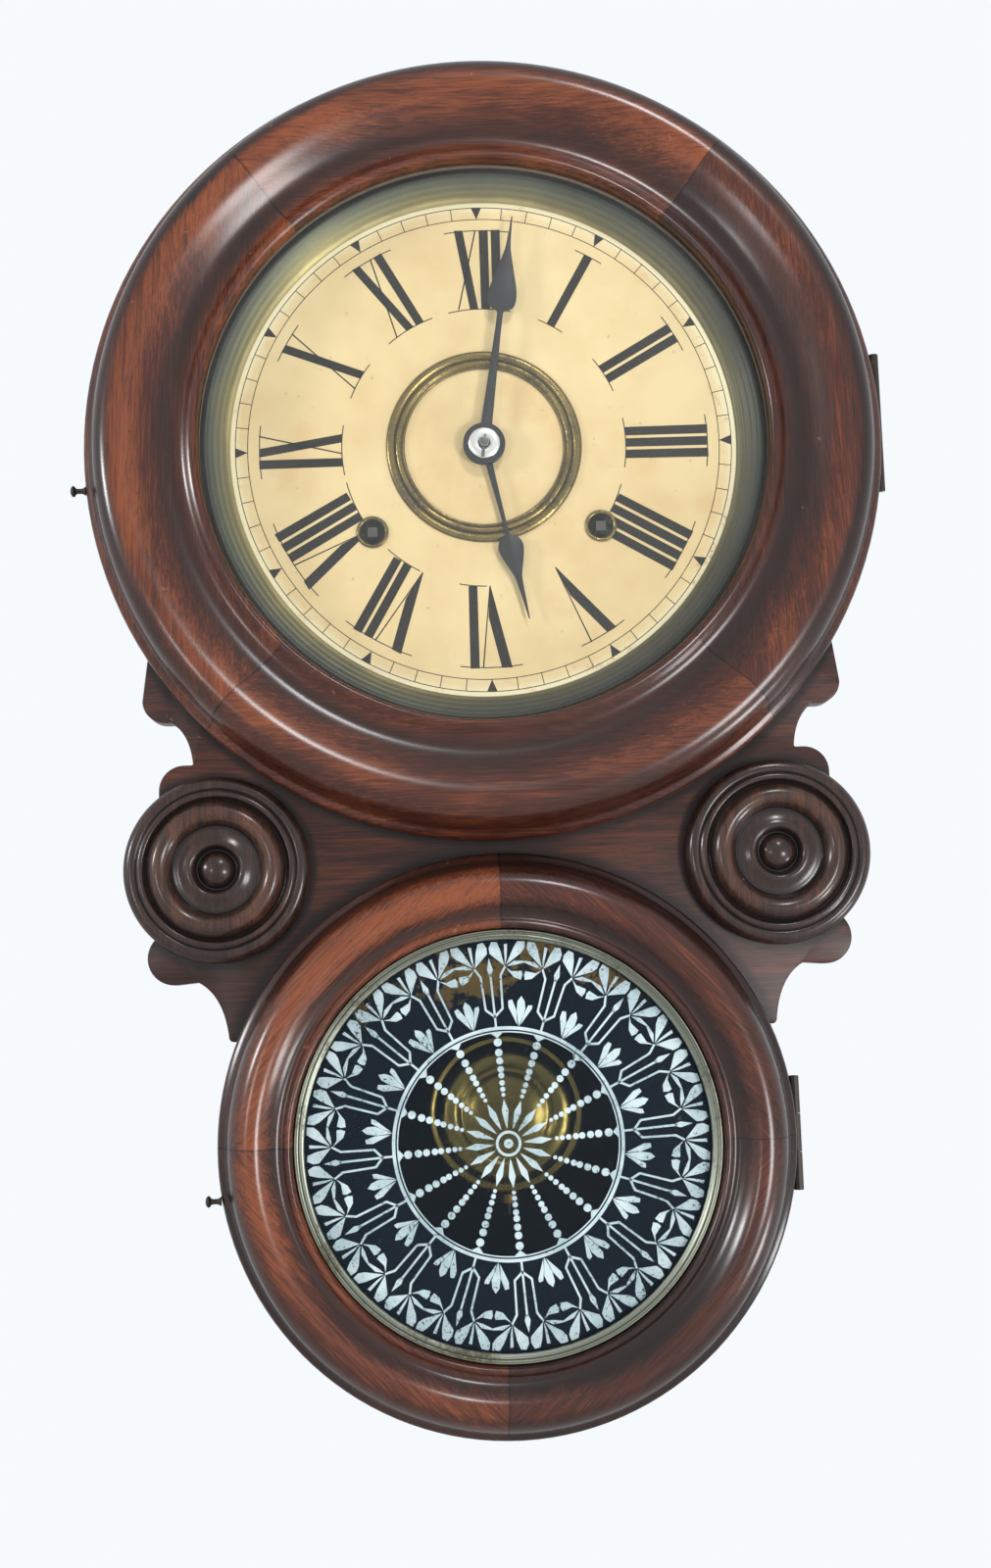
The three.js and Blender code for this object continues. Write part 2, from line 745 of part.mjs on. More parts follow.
function sightRing() {
  const back = dialFace + seatGap;
  const outer = upperDoorBore - sightClearance;
  return turned([
    [sightInnerRadius, back],
    [outer - 1.2, back + sightRise],
    [outer, back + sightRise],
    [outer, back],
  ], upperSides);
}

function dialCentreRing() {
  const back = dialFace + seatGap;
  return turned([
    [centreRingInner, back],
    [centreRingInner + 1.2, back + centreRingRise],
    [centreRingOuter - 1.2, back + centreRingRise],
    [centreRingOuter, back],
  ], 36);
}

function windingGrommet(place) {
  const front = dialFace + seatGap;
  return turned([
    [grommetBore, dialBack - 1],
    [grommetBore + grommetWall, dialBack - 1],
    [grommetBore + grommetWall, front],
    [grommetFlange, front],
    [grommetFlange - 0.7, front + 0.8],
    [grommetBore, front + 0.8],
  ], 16, place);
}

function turnedBy(angle, points) {
  const turn = Math.PI / 2 - radians(angle);
  return points.map(([along, across]) => [
    along * Math.cos(turn) - across * Math.sin(turn),
    along * Math.sin(turn) + across * Math.cos(turn),
  ]);
}

// A hand along +X before it is turned: half widths at stations from the hub to the tip
function handOutline(stations) {
  const over = stations.map(([along, half]) => [along, half]);
  const under = stations.filter(([, half]) => half > 0).map(([along, half]) => [along, -half]);
  return [...under, ...over.reverse()];
}

function hand(stations, angle, level, bore) {
  const blade = slab(turnedBy(angle, handOutline(stations)), level, level + handThick);
  const hub = drum(centre, handHubRadius, level, level + handThick, 20);
  return cut(joined(blade, hub), drum(centre, bore, level - 1, level + handThick + 1, 12));
}

// Stations are shares of the hand's length with half widths in millimetres
function minuteHand() {
  const long = minuteHandLength;
  return hand([
    [0, 2.6], [handHubRadius, 2], [0.57 * long, 1.1], [0.585 * long, 3.4], [0.6 * long, 4.9],
    [0.624 * long, 5.6], [0.66 * long, 5.2], [0.7 * long, 4.2], [0.742 * long, 3.2],
    [0.845 * long, 1.5], [long, 0],
  ], minuteHandAngle, minuteHandLevel, holeFor(centreArborRadius, 12) - runGap / 2);
}

function hourHand() {
  const long = hourHandLength;
  return hand([
    [0, 2.6], [handHubRadius, 2], [0.535 * long, 1.4], [0.55 * long, 3.3], [0.57 * long, 4.7],
    [0.6 * long, 5.3], [0.645 * long, 4.8], [0.7 * long, 3.2], [0.78 * long, 1.6],
    [0.88 * long, 0.9], [long, 0],
  ], hourHandAngle, hourHandLevel, hourPipeRadius + seatGap);
}

function handWasher() {
  return turned([
    [centreArborRadius + runGap, washerLevel],
    [washerRadius, washerLevel],
    [washerRadius - 0.6, washerLevel + 0.9],
    [centreArborRadius + runGap, washerLevel + 0.9],
  ], 16);
}

// A round bar through the centre arbor, from its low end to its high end
function handPinBar(low, high, radius) {
  const turn = radians(handPinAngle);
  const place = (reach) => [reach * Math.cos(turn), pinLevel, reach * Math.sin(turn)];
  return bar(place(-low), place(high), radius, 8);
}

// ---------------------------------------------------------------- movement frame

function plateOutline() {
  const w = plateHalfWidth;
  const chamfer = 9;
  const waist = 12;
  return [
    [-w + chamfer, plateBottom], [-14, plateBottom], [-10, plateBottom + waist],
    [10, plateBottom + waist], [14, plateBottom], [w - chamfer, plateBottom],
    [w, plateBottom + chamfer], [w, plateTop - chamfer], [w - chamfer, plateTop],
    [-w + chamfer, plateTop], [-w, plateTop - chamfer], [-w, plateBottom + chamfer],
  ];
}

const pillarPlaces = [-1, 1].flatMap((side) => [
  [side * (plateHalfWidth - pillarInset), plateBottom + pillarInset],
  [side * (plateHalfWidth - pillarInset - 3), plateTop - pillarInset - 1],
]);

function movementBackPlate() {
  const pivots = [...arborPlaces, centre, vergeAt, timeGreatAt, strikeGreatAt];
  const plate = slab(plateOutline(), backPlateBack, backPlateFront,
    pivots.map((place) => circle(place, holeFor(pivotRadius, arborSides), arborSides)));
  const tenon = pillarRadius / 2;
  const pillars = pillarPlaces.map((place) => turned([
    [0, backPlateFront - plateThick / 2],
    [pillarRadius, backPlateFront - plateThick / 2],
    [pillarRadius, frontPlateBack - seatGap],
    [tenon, frontPlateBack - seatGap],
    [tenon, frontPlateFront + 1],
    [0, frontPlateFront + 1],
  ], 8, place));
  return joined(plate, ...pillars);
}

function movementFrontPlate() {
  const holes = [
    ...[...arborPlaces].map((place) => circle(place, holeFor(pivotRadius, arborSides), arborSides)),
    circle(centre, holeFor(centreArborRadius, 10), 10),
    circle(vergeAt, holeFor(arborRadius, 8), 8),
    circle(timeGreatAt, holeFor(windingArborRadius, 12), 12),
    circle(strikeGreatAt, holeFor(windingArborRadius, 12), 12),
    ...pillarPlaces.map((place) => circle(place, holeFor(pillarRadius / 2, 8), 8)),
  ];
  const plate = slab(plateOutline(), frontPlateBack, frontPlateFront, holes);
  const stud = drum(motionAt, pivotRadius * 1.6, frontPlateBack + plateThick / 2,
    motionStudEnd, 10);
  return joined(plate, stud);
}

// The fixed post with two cheeks that hold the pendulum's suspension spring
function suspensionPost() {
  const [x, z] = postAt;
  const cheekInner = 0.9;
  const cheekOuter = 2.1;
  const root = frontPlateFront + seatGap;
  const cheekBack = rodDepth - 2.6;
  const base = drum([x, z], 3.4, root, root + 1.2, 12);
  const stem = drum([x, z], 2, root, cheekBack + 0.6, 12);
  const head = block([x - cheekOuter, x + cheekOuter], [cheekBack, rodDepth + 2], [z - 2, z + 2]);
  const slit = block([x - cheekInner, x + cheekInner], [cheekBack + 1.2, rodDepth + 3],
    [z - 3, z + 3]);
  return cut(joined(base, stem, head), slit);
}

// A wound strip seen from the front: a spiral from the arbor's hub outwards
function mainspring(place, side) {
  const turns = 2;
  const steps = turns * 11;
  const inner = windingArborRadius + 1 + runGap;
  const strip = 0.9;
  const spiral = (offset) => {
    const points = [];
    for (let i = 0; i <= steps; i += 1) {
      const share = i / steps;
      const radius = inner + (springOuterRadius - inner) * share + offset;
      points.push(polar(place, radius, side * 2 * Math.PI * turns * share));
    }
    return points;
  };
  const points = [...spiral(0), ...spiral(strip).reverse()];
  return slab(side > 0 ? points : points.reverse(), springLevel, springLevel + springWidth);
}

// ---------------------------------------------------------------- winding and great wheels

function greatWheel(place, teeth, module, side) {
  const body = wheel(place, teeth, module, 0, greatLevel, greatLevel + greatWheelThick);
  const bore = drum(place, holeFor(windingArborRadius, 12), greatLevel - 1,
    greatLevel + greatWheelThick + 1, 12);
  const clickAt = polar(place, clickCircle, radians(90 + side * (90 - clickAngle)));
  const boss = drum(clickAt, 3.4, greatLevel, greatLevel + greatWheelThick, 12);
  const stud = drum(clickAt, 1.3, greatLevel + 1, ratchetLevel + 1.5, 8);
  return cut(joined(body, boss, hubDisc(place), stud), bore);
}

function hubDisc(place) {
  return drum(place, windingArborRadius + 3.4, greatLevel, greatLevel + greatWheelThick, 16);
}

function windingArbor(place) {
  const tip = dialFace + 0.4;
  const ratchet = slab(sawToothed(place, ratchetTeeth, ratchetRadius - 1.4, ratchetRadius, 0),
    ratchetLevel, ratchetLevel + 1.5);
  const half = windingSquare / 2;
  const square = block([place[0] - half, place[0] + half], [frontPlateFront, tip],
    [place[1] - half, place[1] + half]);
  const body = turned([
    [0, backPlateBack + seatGap],
    [pivotRadius, backPlateBack + seatGap],
    [pivotRadius, backPlateFront + shoulder],
    [windingArborRadius + 1, backPlateFront + shoulder],
    [windingArborRadius + 1, greatLevel - seatGap],
    [windingArborRadius, greatLevel - seatGap],
    [windingArborRadius, frontPlateFront + 1],
    [0, frontPlateFront + 1],
  ], 12, place);
  return joined(body, ratchet, square);
}

// A pawl on the great wheel, its nose just clear of the ratchet's teeth
function click(place, side) {
  const away = radians(90 + side * (90 - clickAngle));
  const at = polar(place, clickCircle, away);
  const nose = polar(place, ratchetRadius + seatGap, away - side * radians(42));
  const heel = polar(place, ratchetRadius + seatGap + 2.2, away - side * radians(38));
  const root = between(at, nose).angle;
  const points = [
    polar(at, 2.6, root - side * Math.PI / 2),
    nose,
    heel,
    polar(at, 2.6, root + side * Math.PI / 2),
  ];
  const back = ratchetLevel;
  const front = ratchetLevel + 1.2;
  const arm = slab(side > 0 ? points : points.reverse(), back, front);
  const eye = drum(at, 2.6, back, front, 12);
  return cut(joined(arm, eye), drum(at, holeFor(1.3, 8), back - 1, front + 1, 8));
}

// Twelve gaps in the edge tell the strike when to stop, one after each hour's blows
function countWheel() {
  const totalBlows = 78;
  const points = [];
  let blows = 0;
  const notch = 2 * Math.PI / totalBlows * 0.42;
  for (let hour = 1; hour <= 12; hour += 1) {
    const gap = 2 * Math.PI * blows / totalBlows;
    const next = 2 * Math.PI * (blows + hour) / totalBlows;
    const floor = countWheelRadius - countNotchDepth;
    points.push(polar(strikeGreatAt, floor, gap - notch));
    points.push(polar(strikeGreatAt, floor, gap + notch));
    const steps = Math.ceil(hour / 3);
    points.push(...arc(strikeGreatAt, countWheelRadius, gap + notch, next - notch, steps));
    blows += hour;
  }
  const plate = slab(points, countLevel, countLevel + 1);
  const bore = drum(strikeGreatAt, windingArborRadius + 2.4, countLevel - 1, countLevel + 2, 16);
  const posts = [0, 180, 270].map((angle) => drum(polar(strikeGreatAt, 13, radians(angle)), 1.2,
    greatLevel + greatWheelThick + seatGap, countLevel + 0.5, 8));
  return joined(cut(plate, bore), ...posts);
}

// ---------------------------------------------------------------- trains

function trainWheel(at, teeth, module, level, leafModule, leafLevel, phase, rimInner) {
  return joined(
    arbor(at),
    wheel(at, teeth, module, phase, level, level + wheelThick, rimInner),
    pinion(at, trainPinion, leafModule, phase, leafLevel - 0.6, leafLevel + pinionWidth - 0.6),
  );
}

function timeSecondWheel() {
  return trainWheel(timeSecondAt, timeSecondTeeth, timeSecondModule, secondLevel,
    timeGreatModule, greatLevel, timeSecondPhase);
}

function timeThirdWheel() {
  return trainWheel(timeThirdAt, timeThirdTeeth, timeThirdModule, timeThirdLevel,
    timeSecondModule, secondLevel, timeThirdPhase);
}

function escapeWheel() {
  const rim = escapeRadius - 4.4;
  const disc = slab(sawToothed(escapeAt, escapeTeeth, escapeRadius - 2.4, escapeRadius, 0),
    escapeLevel, escapeLevel + 1.2, crossings(escapeAt, 3.6, rim, 4, 2));
  return joined(
    arbor(escapeAt),
    disc,
    pinion(escapeAt, trainPinion, timeThirdModule, escapePhase, timeThirdLevel - 0.6,
      timeThirdLevel + pinionWidth - 0.6),
  );
}

function centreArbor() {
  const spindle = turned([
    [0, backPlateBack + seatGap],
    [pivotRadius, backPlateBack + seatGap],
    [pivotRadius, backPlateFront + shoulder],
    [centreArborRadius, backPlateFront + shoulder],
    [centreArborRadius, centreArborTip],
    [0, centreArborTip],
  ], 10);
  const friction = wheel(centre, centreTeeth, timeSecondModule, centrePhase,
    secondLevel, secondLevel + wheelThick);
  const hub = drum(centre, 3, secondLevel - 0.6, secondLevel + wheelThick + 1.6, 10);
  const cannon = pinion(centre, cannonTeeth, motionModule, 0, cannonLevel,
    cannonLevel + pinionWidth - 0.4);
  const reach = 2 * centreArborRadius;
  const hole = handPinBar(reach, reach, handPinRadius + seatGap);
  return cut(joined(spindle, friction, hub, cannon), hole);
}

function hourWheel() {
  const disc = wheel(centre, hourTeeth, hourModule, hourPhase, hourLevel, hourLevel + wheelThick);
  const pipe = drum(centre, hourPipeRadius, hourLevel - 0.2, hourHandLevel + handThick + 0.3, 12);
  const bore = drum(centre, hourPipeBore / Math.cos(Math.PI / 12), hourLevel - 1,
    hourHandLevel + handThick + 1, 12);
  return cut(joined(disc, pipe), bore);
}

function motionWheel() {
  const disc = wheel(motionAt, motionTeeth, motionModule, motionPhase, motionLevel,
    motionLevel + wheelThick);
  const leaves = pinion(motionAt, motionPinion, hourModule, motionPhase,
    motionLevel + wheelThick - 0.1, motionPinionLevel + pinionWidth);
  const bore = drum(motionAt, holeFor(pivotRadius * 1.6, 10), motionLevel - 1,
    motionPinionLevel + pinionWidth + 1, 10);
  return cut(joined(disc, leaves), bore);
}

function strikeSecondWheel() {
  const body = trainWheel(strikeSecondAt, strikeSecondTeeth, strikeSecondModule,
    strikeSecondLevel, strikeGreatModule, greatLevel, strikeSecondPhase, liftingPinCircle - 1.2);
  const pins = [];
  for (let i = 0; i < liftingPins; i += 1) {
    const place = polar(strikeSecondAt, liftingPinCircle, 2 * Math.PI * i / liftingPins);
    pins.push(drum(place, 0.5, strikeSecondLevel + 0.5, liftLevel + liftingPinLength, 6));
  }
  return joined(body, ...pins);
}

function strikeThirdWheel() {
  return trainWheel(strikeThirdAt, strikeThirdTeeth, strikeThirdModule, strikeThirdLevel,
    strikeSecondModule, strikeSecondLevel, strikeThirdPhase);
}

function fly() {
  const [x, z] = flyAt;
  return joined(
    arbor(flyAt),
    pinion(flyAt, trainPinion, strikeThirdModule, flyPhase, strikeThirdLevel - 0.6,
      strikeThirdLevel + pinionWidth - 0.6),
    block([x - 12, x + 12], [flyBladeBack, frontPlateBack - 3], [z - 0.3, z + 0.3]),
  );
}

// ---------------------------------------------------------------- escapement, strike, pendulum

// A bent steel strip over the escape wheel, and the crutch that meets the pendulum rod
function verge() {
  const [x, z] = vergeAt;
  const tip = escapeRadius + palletClearance;
  const spread = radians(palletSpread);
  const foot = (side, extra) => polar(escapeAt, tip + extra, Math.PI / 2 - side * spread);
  const strip = slab([
    foot(-1, 0), foot(-1, 1.4), [x - 6.2, z - 3.8], [x, z - 1], [x + 6.2, z - 3.8], foot(1, 1.4),
    foot(1, 0), [x + 5.4, z - 5.2], [x, z - 2.4], [x - 5.4, z - 5.2],
  ].reverse(), escapeLevel - 0.4, escapeLevel + 1.6);
  const collet = drum(vergeAt, 2.4, escapeLevel - 0.6, escapeLevel + 1.8, 12);
  const wireDepth = frontPlateFront + 4;
  const spindle = turned([
    [0, backPlateBack + seatGap],
    [pivotRadius, backPlateBack + seatGap],
    [pivotRadius, backPlateFront + shoulder],
    [arborRadius, backPlateFront + shoulder],
    [arborRadius, wireDepth + 0.6],
    [0, wireDepth + 0.6],
  ], 8, vergeAt);
  const wire = bar([x, wireDepth, z], [x, wireDepth, z - crutchDrop], 0.6, 6);
  const prong = rodRadius + runGap;
  const fork = cut(
    block([x - prong - 0.7, x + prong + 0.7], [wireDepth - 0.6, rodDepth + 2],
      [z - crutchDrop - 0.6, z - crutchDrop + 0.6]),
    block([x - prong, x + prong], [rodDepth - 1.6, rodDepth + 3],
      [z - crutchDrop - 1, z - crutchDrop + 1]),
  );
  return joined(strip, collet, spindle, wire, fork);
}

function hammer() {
  const tail = polar(strikeSecondAt, liftingPinCircle + 0.5 + runGap,
    between(strikeSecondAt, hammerAt).angle);
  const gongEdge = gongX - gongInnerRadius - gongPitch * gongTurns - gongWire;
  const headFace = gongEdge - hammerRest;
  const headX = headFace - hammerHeadLength / 2;
  const rodDepthLow = gongDepth;
  const knee = [hammerX - 8, hammerRodDepth, plateBottom - 14];
  const shaft = bar([hammerX, hammerRodDepth, hammerZ], knee, 1, 6);
  const lower = bar(knee, [headX, rodDepthLow, gongZ], 1, 6);
  const elbow = bar([knee[0], knee[1], knee[2] + 1.6], [knee[0], knee[1], knee[2] - 1.6], 1.3, 6);
  const head = bar([headFace, gongDepth, gongZ], [headFace - hammerHeadLength, gongDepth, gongZ],
    hammerHeadRadius, 12);
  const arm = bar([hammerX, liftLevel + liftingPinLength / 2, hammerZ],
    [tail[0], liftLevel + liftingPinLength / 2, tail[1]], 0.6, 6);
  const collets = [hammerRodDepth, liftLevel + liftingPinLength / 2].map((depth) => drum(
    hammerAt, 2.2, depth - 1.3, depth + 1.3, 10));
  return joined(arbor(hammerAt), ...collets, shaft, elbow, lower, head, arm);
}

function pendulumRod() {
  const [x, top] = [vergeAt[0], vergeAt[1]];
  const bobBottom = bobZ - bobRadius;
  const nutBottom = bobBottom - seatGap - nutHeight;
  const bow = new THREE.CatmullRomCurve3([
    [0, rodBowHalf + 4], [0, rodBowHalf + 1], [rodBow * 0.5, rodBowHalf - 5],
    [rodBow, rodBowHalf - 10], [rodBow, 0], [rodBow, 10 - rodBowHalf],
    [rodBow * 0.5, 5 - rodBowHalf], [0, -rodBowHalf - 1], [0, -rodBowHalf - 4],
  ].map(([px, pz]) => new THREE.Vector3(x + px, -rodDepth, pz)));
  const strip = block([x - 0.15, x + 0.15], [rodDepth - 1.2, rodDepth + 1.2],
    [top - 3, top + 8.4]);
  const clip = block([x - 0.7, x + 0.7], [rodDepth - 1.5, rodDepth + 1.5], [top - 7, top - 3]);
  const pin = bar([x - 2.3, rodDepth, top + 8.1], [x + 2.3, rodDepth, top + 8.1], 0.6, 8);
  const upper = bar([x, rodDepth, top - 6], [x, rodDepth, rodBowHalf + 2], rodRadius, 6);
  const lower = bar([x, rodDepth, -rodBowHalf - 2], [x, rodDepth, nutBottom - threadBelowNut],
    rodRadius, 6);
  return joined(pin, strip, clip, upper, tube(bow, rodRadius, 5, 14), lower);
}

function pendulumBob() {
  const front = (share) => rodDepth + share * bobHalfThick;
  const body = turned([
    [0, front(-0.8)],
    [0.94 * bobRadius, front(-0.8)],
    [bobRadius, front(-0.2)],
    [bobRadius, front(0.5)],
    [0.95 * bobRadius, front(1)],
    [0.81 * bobRadius, front(0.75)],
    [0.66 * bobRadius, front(1.1)],
    [0.5 * bobRadius, front(0.8)],
    [0.31 * bobRadius, front(1.2)],
    [0, front(1.3)],
  ], 30, [0, bobZ]);
  const half = rodRadius + runGap;
  const channel = block([-half, half], [rodDepth - half, rodDepth + half],
    [bobZ - bobRadius - 1, bobZ + bobRadius + 1]);
  return cut(body, channel);
}

function ratingNut() {
  const topZ = bobZ - bobRadius - seatGap;
  const body = bar([0, rodDepth, topZ], [0, rodDepth, topZ - nutHeight], nutRadius, 16);
  return cut(body, bar([0, rodDepth, topZ + 1], [0, rodDepth, topZ - nutHeight - 1],
    holeFor(rodRadius, 8), 8));
}

function gongBlock() {
  const back = backBoardThick + seatGap;
  return turned([
    [0, back],
    [gongBaseRadius, back],
    [gongBaseRadius - 1.5, back + gongBaseThick],
    [gongPostRadius + 1.4, back + gongBaseThick + 2],
    [gongPostRadius, back + gongBaseThick + 5],
    [gongPostRadius, gongDepth + 3],
    [0, gongDepth + 3],
  ], 20, [gongX, gongZ]);
}

// A flat spiral whose inner end runs straight to the post
function gongCoil() {
  const perTurn = 24;
  const wireWide = 2 * gongWire;
  const start = gongPostRadius + seatGap;
  const points = [[start, 0], [start + wireWide, 0]];
  const first = Math.PI * 0.45;
  const total = gongTurns * 2 * Math.PI;
  for (let i = 0; i <= gongTurns * perTurn; i += 1) {
    const angle = first + (total - first) * i / (gongTurns * perTurn);
    points.push(polar([0, 0], gongInnerRadius + gongPitch * angle / (2 * Math.PI), angle));
  }
  const last = points[points.length - 1];
  points.push([last[0], last[1] + wireWide]);
  const path = new THREE.CatmullRomCurve3(points.map(([x, z]) => new THREE.Vector3(
    gongX + x, -gongDepth, gongZ + z)), false, 'centripetal');
  printLeastGap(path, wireWide, gongTurns * perTurn + 6);
  return tube(path, gongWire, 6, gongTurns * perTurn + 6);
}

// The least gap between stretches of the wire that lie more than half a turn apart
function printLeastGap(path, wide, steps) {
  const points = path.getSpacedPoints(steps);
  let least = Infinity;
  for (let i = 0; i < points.length; i += 1) {
    for (let j = i + 8; j < points.length; j += 1) {
      least = Math.min(least, points[i].distanceTo(points[j]) - wide);
    }
  }
  console.log(`gong coil: least gap to itself ${least.toFixed(2)} mm`);
}

// ---------------------------------------------------------------- materials and the model

const finishes = {
  boardWood: [0x4a2c26, 0.5, 0],
  ringWood: [0x7a3f2a, 0.38, 0],
  rosetteWood: [0x3a2a24, 0.45, 0],
  caseWood: [0x5a4030, 0.7, 0],
  dial: [0xe1cb96, 0.6, 0],
  brass: [0xb08d4a, 0.35, 1],
  oldBrass: [0x6c684c, 0.5, 1],
  steel: [0x8a8d90, 0.35, 1],
  darkSteel: [0x23211f, 0.45, 1],
  blackIron: [0x2c2a28, 0.6, 1],
  spring: [0x50545c, 0.4, 1],
  glass: [0xdfe8e6, 0.05, 0],
  putty: [0x6d6250, 0.8, 0],
};

function part(name, shape, finish) {
  const [color, roughness, metalness] = finishes[finish];
  const material = new THREE.MeshStandardMaterial({ color, roughness, metalness });
  const mesh = new THREE.Mesh(geometryOf(shape), material);
  mesh.name = name;
  return mesh;
}

const caseParts = () => [
  part('back_board', backBoard(), 'caseWood'),
  part('upper_hoop', hoop(centre, upperHoopRadius, -1), 'caseWood'),
  part('lower_hoop', hoop(lowerCentre, lowerHoopRadius, 1), 'caseWood'),
  part('left_waist_block', waistBlock(-1), 'caseWood'),
  part('right_waist_block', waistBlock(1), 'caseWood'),
  part('front_board', frontBoard(), 'boardWood'),
  part('left_rosette', rosette(-1), 'rosetteWood'),
  part('right_rosette', rosette(1), 'rosetteWood'),
  part('wall_hanger', wallHanger(), 'brass'),
  part('movement_seat', seatBoard(), 'caseWood'),
  part('upper_hinge_case_leaf', hingeLeaf(upperHinge, -1), 'darkSteel'),
  part('lower_hinge_case_leaf', hingeLeaf(lowerHinge, -1), 'darkSteel'),
  part('gong_block', gongBlock(), 'blackIron'),
  part('gong_coil', gongCoil(), 'spring'),
];

const doorParts = () => [
  part('upper_door_ring', doorRing(centre, upperDoorRadius, upperDoorBore, upperCrest, upperBead,
    upperSides, upperHinge), 'ringWood'),
  part('upper_glass', glass(centre, upperDoorBore, upperSides), 'glass'),
  part('upper_glass_retainer', glassRetainer(centre, upperDoorBore, upperSides), 'putty'),
  part('upper_door_pull', pull(centre, upperDoorRadius, upperPullZ), 'darkSteel'),
  part('upper_hinge_door_leaf', hingeLeaf(upperHinge, 1), 'darkSteel'),
  part('lower_door_ring', doorRing(lowerCentre, lowerDoorRadius, lowerDoorBore, lowerCrest,
    lowerBead, lowerSides, lowerHinge), 'ringWood'),
  part('lower_glass', glass(lowerCentre, lowerDoorBore, lowerSides), 'glass'),
  part('lower_brass_ring', lowerBrassRing(), 'oldBrass'),
  part('lower_glass_retainer', glassRetainer(lowerCentre, lowerDoorBore, lowerSides), 'putty'),
  part('lower_door_pull', pull(lowerCentre, lowerDoorRadius, lowerCentre[1] - lowerPullDrop),
    'darkSteel'),
  part('lower_hinge_door_leaf', hingeLeaf(lowerHinge, 1), 'darkSteel'),
];

const dialParts = () => [
  part('dial_plate', dialPlate(), 'dial'),
  part('sight_ring', sightRing(), 'oldBrass'),
  part('dial_centre_ring', dialCentreRing(), 'brass'),
  part('left_winding_grommet', windingGrommet(strikeGreatAt), 'brass'),
  part('right_winding_grommet', windingGrommet(timeGreatAt), 'brass'),
  part('minute_hand', minuteHand(), 'darkSteel'),
  part('hour_hand', hourHand(), 'darkSteel'),
  part('hand_washer', handWasher(), 'steel'),
  part('hand_pin', handPinBar(handPinLow, handPinHigh, handPinRadius), 'steel'),
];

const movementParts = () => [
  part('movement_back_plate', movementBackPlate(), 'brass'),
  part('movement_front_plate', movementFrontPlate(), 'brass'),
  part('suspension_post', suspensionPost(), 'brass'),
  part('time_mainspring', mainspring(timeGreatAt, 1), 'spring'),
  part('strike_mainspring', mainspring(strikeGreatAt, -1), 'spring'),
  part('time_great_wheel', greatWheel(timeGreatAt, timeGreatTeeth, timeGreatModule, 1), 'brass'),
  part('time_winding_arbor', windingArbor(timeGreatAt), 'steel'),
  part('time_click', click(timeGreatAt, 1), 'steel'),
  part('time_second_wheel', timeSecondWheel(), 'brass'),
  part('centre_arbor', centreArbor(), 'steel'),
  part('time_third_wheel', timeThirdWheel(), 'brass'),
  part('escape_wheel', escapeWheel(), 'brass'),
  part('verge', verge(), 'steel'),
  part('hour_wheel', hourWheel(), 'brass'),
  part('motion_wheel', motionWheel(), 'brass'),
  part('strike_great_wheel', greatWheel(strikeGreatAt, strikeGreatTeeth, strikeGreatModule, -1),
    'brass'),
  part('count_wheel', countWheel(), 'brass'),
  part('strike_winding_arbor', windingArbor(strikeGreatAt), 'steel'),
  part('strike_click', click(strikeGreatAt, -1), 'steel'),
  part('strike_second_wheel', strikeSecondWheel(), 'brass'),
  part('strike_third_wheel', strikeThirdWheel(), 'brass'),
  part('fly', fly(), 'brass'),
  part('hammer', hammer(), 'steel'),
  part('pendulum_rod', pendulumRod(), 'steel'),
  part('pendulum_bob', pendulumBob(), 'brass'),
  part('rating_nut', ratingNut(), 'brass'),
];

const clock = new THREE.Group();
clock.add(...caseParts(), ...doorParts(), ...dialParts(), ...movementParts());

export default clock;
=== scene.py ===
import bpy
import math
from mathutils import Matrix, Vector


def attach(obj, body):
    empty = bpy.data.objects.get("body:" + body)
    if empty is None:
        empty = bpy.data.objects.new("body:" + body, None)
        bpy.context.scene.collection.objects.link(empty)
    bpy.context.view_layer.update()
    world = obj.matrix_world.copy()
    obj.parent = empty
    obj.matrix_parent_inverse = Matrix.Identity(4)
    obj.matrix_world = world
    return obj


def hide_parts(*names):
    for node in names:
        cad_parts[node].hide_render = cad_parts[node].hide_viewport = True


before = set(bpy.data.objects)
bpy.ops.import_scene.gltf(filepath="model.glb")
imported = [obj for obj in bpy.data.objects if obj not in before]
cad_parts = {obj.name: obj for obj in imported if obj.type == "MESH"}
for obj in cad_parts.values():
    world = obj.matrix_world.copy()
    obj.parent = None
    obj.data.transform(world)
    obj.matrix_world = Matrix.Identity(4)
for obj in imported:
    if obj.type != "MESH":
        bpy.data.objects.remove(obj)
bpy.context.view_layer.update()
mm = 0.001


# a place on the front is (x, z) in mm, and a depth d is mm forward of the back
def clearSelection():
    if bpy.context.mode != 'OBJECT':
        bpy.ops.object.mode_set(mode='OBJECT')
    bpy.ops.object.select_all(action='DESELECT')


def makeActive(piece):
    clearSelection()
    piece.select_set(True)
    bpy.context.view_layer.objects.active = piece


def smoothEdges(piece, angle=32):
    makeActive(piece)
    bpy.ops.object.shade_smooth_by_angle(angle=math.radians(angle))
    return piece


def softLine(points, cuts=4, loop=False):
    # a smooth line through the points
    count = len(points)
    line = []
    for i in range(count if loop else count - 1):
        if loop:
            before, start, end, after = (points[(i + k) % count] for k in (-1, 0, 1, 2))
        else:
            before, start, end, after = (points[min(max(i + k, 0), count - 1)] for k in (-1, 0, 1, 2))
        for step in range(cuts):
            t = step / cuts
            line.append(tuple(
                0.5 * (2 * b + (c - a) * t + (2 * a - 5 * b + 4 * c - d) * t ** 2
                       + (3 * b - a - 3 * c + d) * t ** 3)
                for a, b, c, d in zip(before, start, end, after)))
    return line if loop else line + [points[-1]]


